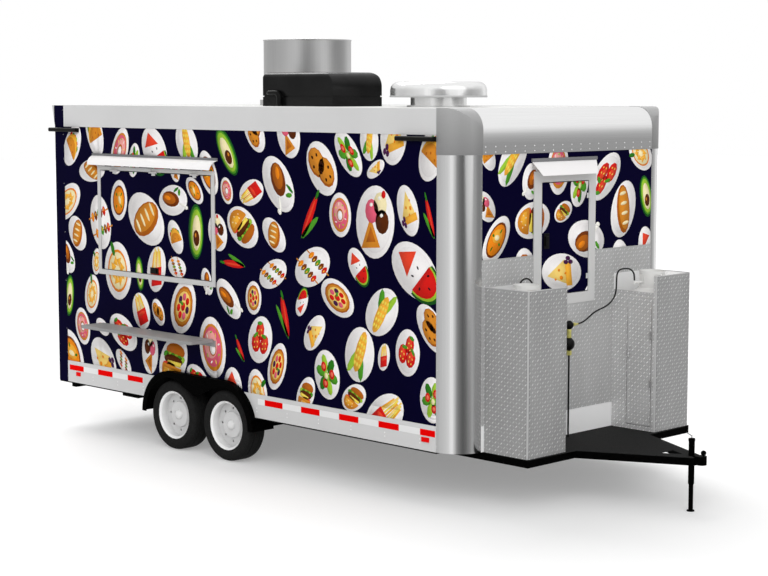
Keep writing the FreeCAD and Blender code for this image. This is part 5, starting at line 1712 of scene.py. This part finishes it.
def trim_ring(low, high, bend):
    """A strip round the top of a box; its two front corners are rounded."""
    shape = block(low, high)
    front_uprights = [e for e in shape.edges if abs(e.verts[0].co.z - e.verts[1].co.z) > 1e-4
                      and min(v.co.x for v in e.verts) > high[0] - 1e-4]
    bmesh.ops.bevel(shape, geom=front_uprights, offset=bend, segments=6, profile=0.5, affect="EDGES",
                    material=-1)
    level = [f for f in shape.faces if abs(f.normal.z) > 0.9]
    bmesh.ops.inset_region(shape, faces=level, thickness=trim_wide, use_even_offset=True)
    bmesh.ops.delete(shape, geom=level, context="FACES_ONLY")
    open_edges = [e for e in shape.edges if e.is_boundary]
    bmesh.ops.bridge_loops(shape, edges=open_edges)
    return shape


for side, name in ((1, "left"), (-1, "right")):
    low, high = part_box("gas_cabinet_" + name)
    near = side * cabinet_near
    far = high.y if side > 0 else low.y
    top = high.z
    step_x = high.x - corner_bend
    y0, y1 = sorted((near - side * trim_proud, far + side * trim_proud))
    ring_low = (low.x, y0, top - trim_tall)
    ring_high = (high.x + trim_proud, y1, top + trim_proud)
    ahead = trim_ring(ring_low, ring_high, corner_bend)
    capped_cut(ahead, (step_x, 0, 0), (-1, 0, 0))
    behind = trim_ring(ring_low, ring_high, corner_bend)
    capped_cut(behind, (step_x, 0, 0), (1, 0, 0))
    capped_cut(behind, (0, near + side * (trim_wide + 0.002), 0), (0, -side, 0))
    y0, y1 = sorted((near - side * trim_proud, near + side * (trim_wide - trim_proud)))
    low_top = top - low_side_drop
    ledge = block((low.x, y0, low_top - trim_tall), (step_x, y1, low_top + trim_proud), 0.001)
    upright = block((step_x - trim_wide, y0, low_top), (step_x + trim_proud, y1, top), 0.001)
    edging = bmesh.new()
    for part in (ahead, behind, ledge, upright):
        use_up(edging, part)
    piece("cabinet_trim_" + name, edging, edge_alloy, "chassis")

# %% [markdown]
# ## Roof equipment
# The exhaust stack is rolled from sheet: its top edge is curled over a wire,
# and the sheet's ends overlap in one upright seam. The curl is a small circle
# spun round the stack, and the seam is a thin strip turned to its place.

# %% Rolled rim and seam of the stack
stack_low, stack_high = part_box("exhaust_stack")
stack_radius, stack_sheet = 0.389, 0.001
stack_x = (stack_low.x + stack_high.x) / 2
stack_y = (stack_low.y + stack_high.y) / 2
wire_radius = 0.006
curb_height = 0.052
seam_angle = math.radians(118)
seam_half, seam_proud = 0.014, 0.0025

rim = bmesh.new()
bmesh.ops.create_circle(rim, segments=10, radius=wire_radius)
upright = Matrix.Translation((stack_radius - stack_sheet, 0, 0)) @ Matrix.Rotation(math.pi / 2, 4, "X")
bmesh.ops.transform(rim, matrix=upright, verts=rim.verts)
bmesh.ops.spin(rim, geom=whole(rim), axis=(0, 0, 1), cent=(0, 0, 0), angle=2 * math.pi, steps=72,
               use_merge=True)
stack_trim = bmesh.new()
use_up(stack_trim, rim, Matrix.Translation((stack_x, stack_y, stack_high.z - stack_sheet)))
seam = block((stack_radius - stack_sheet, -seam_half, roof_top + curb_height),
             (stack_radius + seam_proud, seam_half, stack_high.z - 0.004), 0.001)
use_up(stack_trim, seam, Matrix.Translation((stack_x, stack_y, 0)) @ Matrix.Rotation(seam_angle, 4, "Z"))
piece("stack_rim", stack_trim, drum_metal, "chassis")

# %% [markdown]
# The mushroom vent's dome ends in a rolled lip, where the spinner folded the
# sheet under. It is turned from a profile a few millimetres wider than the
# dome.

# %% Lip of the roof vent
vent_low, vent_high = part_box("roof_vent")
vent_radius = (vent_high.x - vent_low.x) / 2
lip_drop = 0.118
lip_edge = [(-0.004, 0.010), (0.003, 0.008), (0.005, 0.004), (0.005, -0.003), (0.002, -0.006),
            (-0.012, -0.006), (-0.030, -0.002)]

lip = turned_part([(0, 0.010)] + [(vent_radius + r, h) for r, h in lip_edge] + [(0, -0.002)], 72)
vent_trim = bmesh.new()
use_up(vent_trim, lip, Matrix.Translation(((vent_low.x + vent_high.x) / 2, 0, vent_high.z - lip_drop)))
piece("vent_lip", vent_trim, edge_alloy, "chassis")

# %% [markdown]
# The air conditioner's drain runs from its side in a short elbow down to the
# roof. The pipe starts as one circle, which is extruded along the straight
# runs and spun round the bends. They follow each other with no gap: each spin
# starts from the circle that the last extrusion left.

# %% Drain elbow of the air conditioner
pipe_radius = 0.0225
pipe_bend = 0.045
pipe_start = (-4.03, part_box("air_conditioner")[0].y + 0.02, 2.985)
pipe_front_x = -3.875


def extruded(shape, ring, step):
    """Extrude a ring of edges straight; gives the new ring."""
    made = bmesh.ops.extrude_edge_only(shape, edges=ring)
    corners = [g for g in made["geom"] if isinstance(g, bmesh.types.BMVert)]
    bmesh.ops.translate(shape, verts=corners, vec=step)
    return [g for g in made["geom"] if isinstance(g, bmesh.types.BMEdge)]


def bent(shape, ring, axis, centre, degrees):
    """Spin a ring of edges round a bend; gives the new ring."""
    corners = list({v for e in ring for v in e.verts})
    made = bmesh.ops.spin(shape, geom=ring + corners, axis=axis, cent=centre, angle=math.radians(degrees),
                          steps=8)
    return [g for g in made["geom_last"] if isinstance(g, bmesh.types.BMEdge)]


pipe = bmesh.new()
bmesh.ops.create_circle(pipe, segments=20, radius=pipe_radius)
bmesh.ops.transform(pipe, matrix=turning((0, -1, 0), pipe_start), verts=pipe.verts)
ring = extruded(pipe, pipe.edges[:], (0, -0.001, 0))
x, y, z = pipe_start[0], pipe_start[1] - 0.001, pipe_start[2]
ring = bent(pipe, ring, (0, 0, 1), (x + pipe_bend, y, z), 90)
ring = extruded(pipe, ring, (pipe_front_x - x - 2 * pipe_bend, 0, 0))
ring = bent(pipe, ring, (0, 1, 0), (pipe_front_x - pipe_bend, y - pipe_bend, z - pipe_bend), 90)
ring = extruded(pipe, ring, (0, 0, roof_top - 0.004 - (z - pipe_bend)))
bmesh.ops.remove_doubles(pipe, verts=pipe.verts, dist=1e-6)
bmesh.ops.holes_fill(pipe, edges=[e for e in pipe.edges if e.is_boundary], sides=0)
piece("cooler_drain", pipe, black_plastic, "chassis")

# %% [markdown]
# ## Awnings
# A small awning keeps rain off the hatch, and another off the front door.
# Each hangs from a grey rail on the wall. The blade is one sheet of metal: it
# is drawn as a strip of faces from the rail to its outer edge, with a slight
# crown over the hatch, and then given its thickness. The front blade's left
# end is cut slanting, as in the picture.

# %% Shape of a blade
blade_thickness = 0.004


def blade(corners, crown, steps=6):
    """A crowned sheet from its inner start and end to its outer start and end."""
    inner0, inner1, outer0, outer1 = (Vector(c) for c in corners)
    shape = bmesh.new()
    normal = (outer0 - inner0).cross(inner1 - inner0).normalized()
    if normal.z < 0:
        normal = -normal
    rows = []
    for i in range(steps + 1):
        t = i / steps
        lift = normal * (crown * 4 * t * (1 - t))
        rows.append([shape.verts.new(a.lerp(b, t) + lift) for a, b in ((inner0, outer0), (inner1, outer1))])
    for (a, b), (c, d) in zip(rows, rows[1:]):
        shape.faces.new((a, b, d, c))
    bmesh.ops.recalc_face_normals(shape, faces=shape.faces[:])
    if sum(f.normal.z for f in shape.faces) < 0:
        bmesh.ops.reverse_faces(shape, faces=shape.faces[:])
    bmesh.ops.solidify(shape, geom=whole(shape), thickness=blade_thickness)
    return shape


print("blade", blade_thickness * 1000, "mm thick")

# %% [markdown]
# The front blade is nearly flat. The one over the hatch is crowned by 18 mm,
# and its outer edge droops a little below the solid's, as it does in the
# picture, but stays clear of the hatch when that swings up.

# %% Awning blades and rails
rail_lap, rail_depth = 0.004, 0.014
front_crown, side_crown = 0.002, 0.018
slant, short_end, droop = 0.12, 0.035, 0.032

hood_low, hood_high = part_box("front_awning")
rail_top, rail_low = hood_high.z - 0.020, hood_high.z - 0.042
edge_z = hood_low.z + 0.006
inner_x = front_x + rail_lap
hood = blade([(inner_x, hood_low.y, rail_low), (inner_x, hood_high.y, rail_low),
              (hood_high.x, hood_low.y - 0.006, edge_z), (hood_high.x, hood_high.y - slant, edge_z)],
             front_crown)
hood_piece = piece("front_awning_blade", hood, white_paint, "chassis")
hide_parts("front_awning")

awning_low, awning_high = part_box("window_awning")
side_rail_low = awning_high.z - 0.041
outer_z = awning_low.z - droop
inner_y = -half_width - rail_lap
crowned = blade([(awning_low.x, inner_y, side_rail_low), (awning_high.x, inner_y, side_rail_low),
                 (awning_low.x, awning_low.y, outer_z), (awning_high.x - short_end, awning_low.y, outer_z)],
                side_crown)
crowned_piece = piece("window_awning_blade", crowned, white_paint, "chassis")
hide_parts("window_awning")

rails = bmesh.new()
use_up(rails, block((front_x, hood_low.y - rail_lap, rail_low - rail_lap),
                    (front_x + rail_depth, hood_high.y + rail_lap, rail_top), 0.002))
use_up(rails, block((awning_low.x, -half_width - rail_depth, side_rail_low - rail_lap),
                    (awning_high.x, -half_width, awning_high.z - 0.024), 0.002))
piece("awning_rails", rails, cassette_paint, "chassis")

# %% [markdown]
# ## Small metal parts
# The jack has a pressed cap over its tube, painted black like the tongue, and
# its crank ends in a turned grip. The cap is hollow, so that it sits over the
# tube and not in it.

# %% Jack cap and crank grip
jack_low, jack_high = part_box("jack_tube")
crank_low, crank_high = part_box("jack_crank")
tube_radius = (jack_high.y - jack_low.y) / 2
outside, inside = tube_radius + 0.0025, tube_radius + 0.0003
cap = turned_part([(0, 0.007), (tube_radius * 0.5, 0.0065), (tube_radius + 0.001, 0.004), (outside, 0.001),
                   (outside, -0.016), (inside, -0.016), (inside, 0.0002), (0, 0.0002)], 28)
grip = turned_part([(0, 0.05), (0.006, 0.05), (0.0085, 0.044), (0.0095, 0.024), (0.0085, 0.004), (0.006, 0),
                    (0, 0)], 16)
jack_trim = bmesh.new()
use_up(jack_trim, cap, Matrix.Translation((0, 0, jack_high.z + 0.0006)))
use_up(jack_trim, grip, turning((0, 0, 1), (crank_low.x + 0.004, 0, crank_high.z - 0.008)))
piece("jack_cap", jack_trim, black_paint, "chassis")
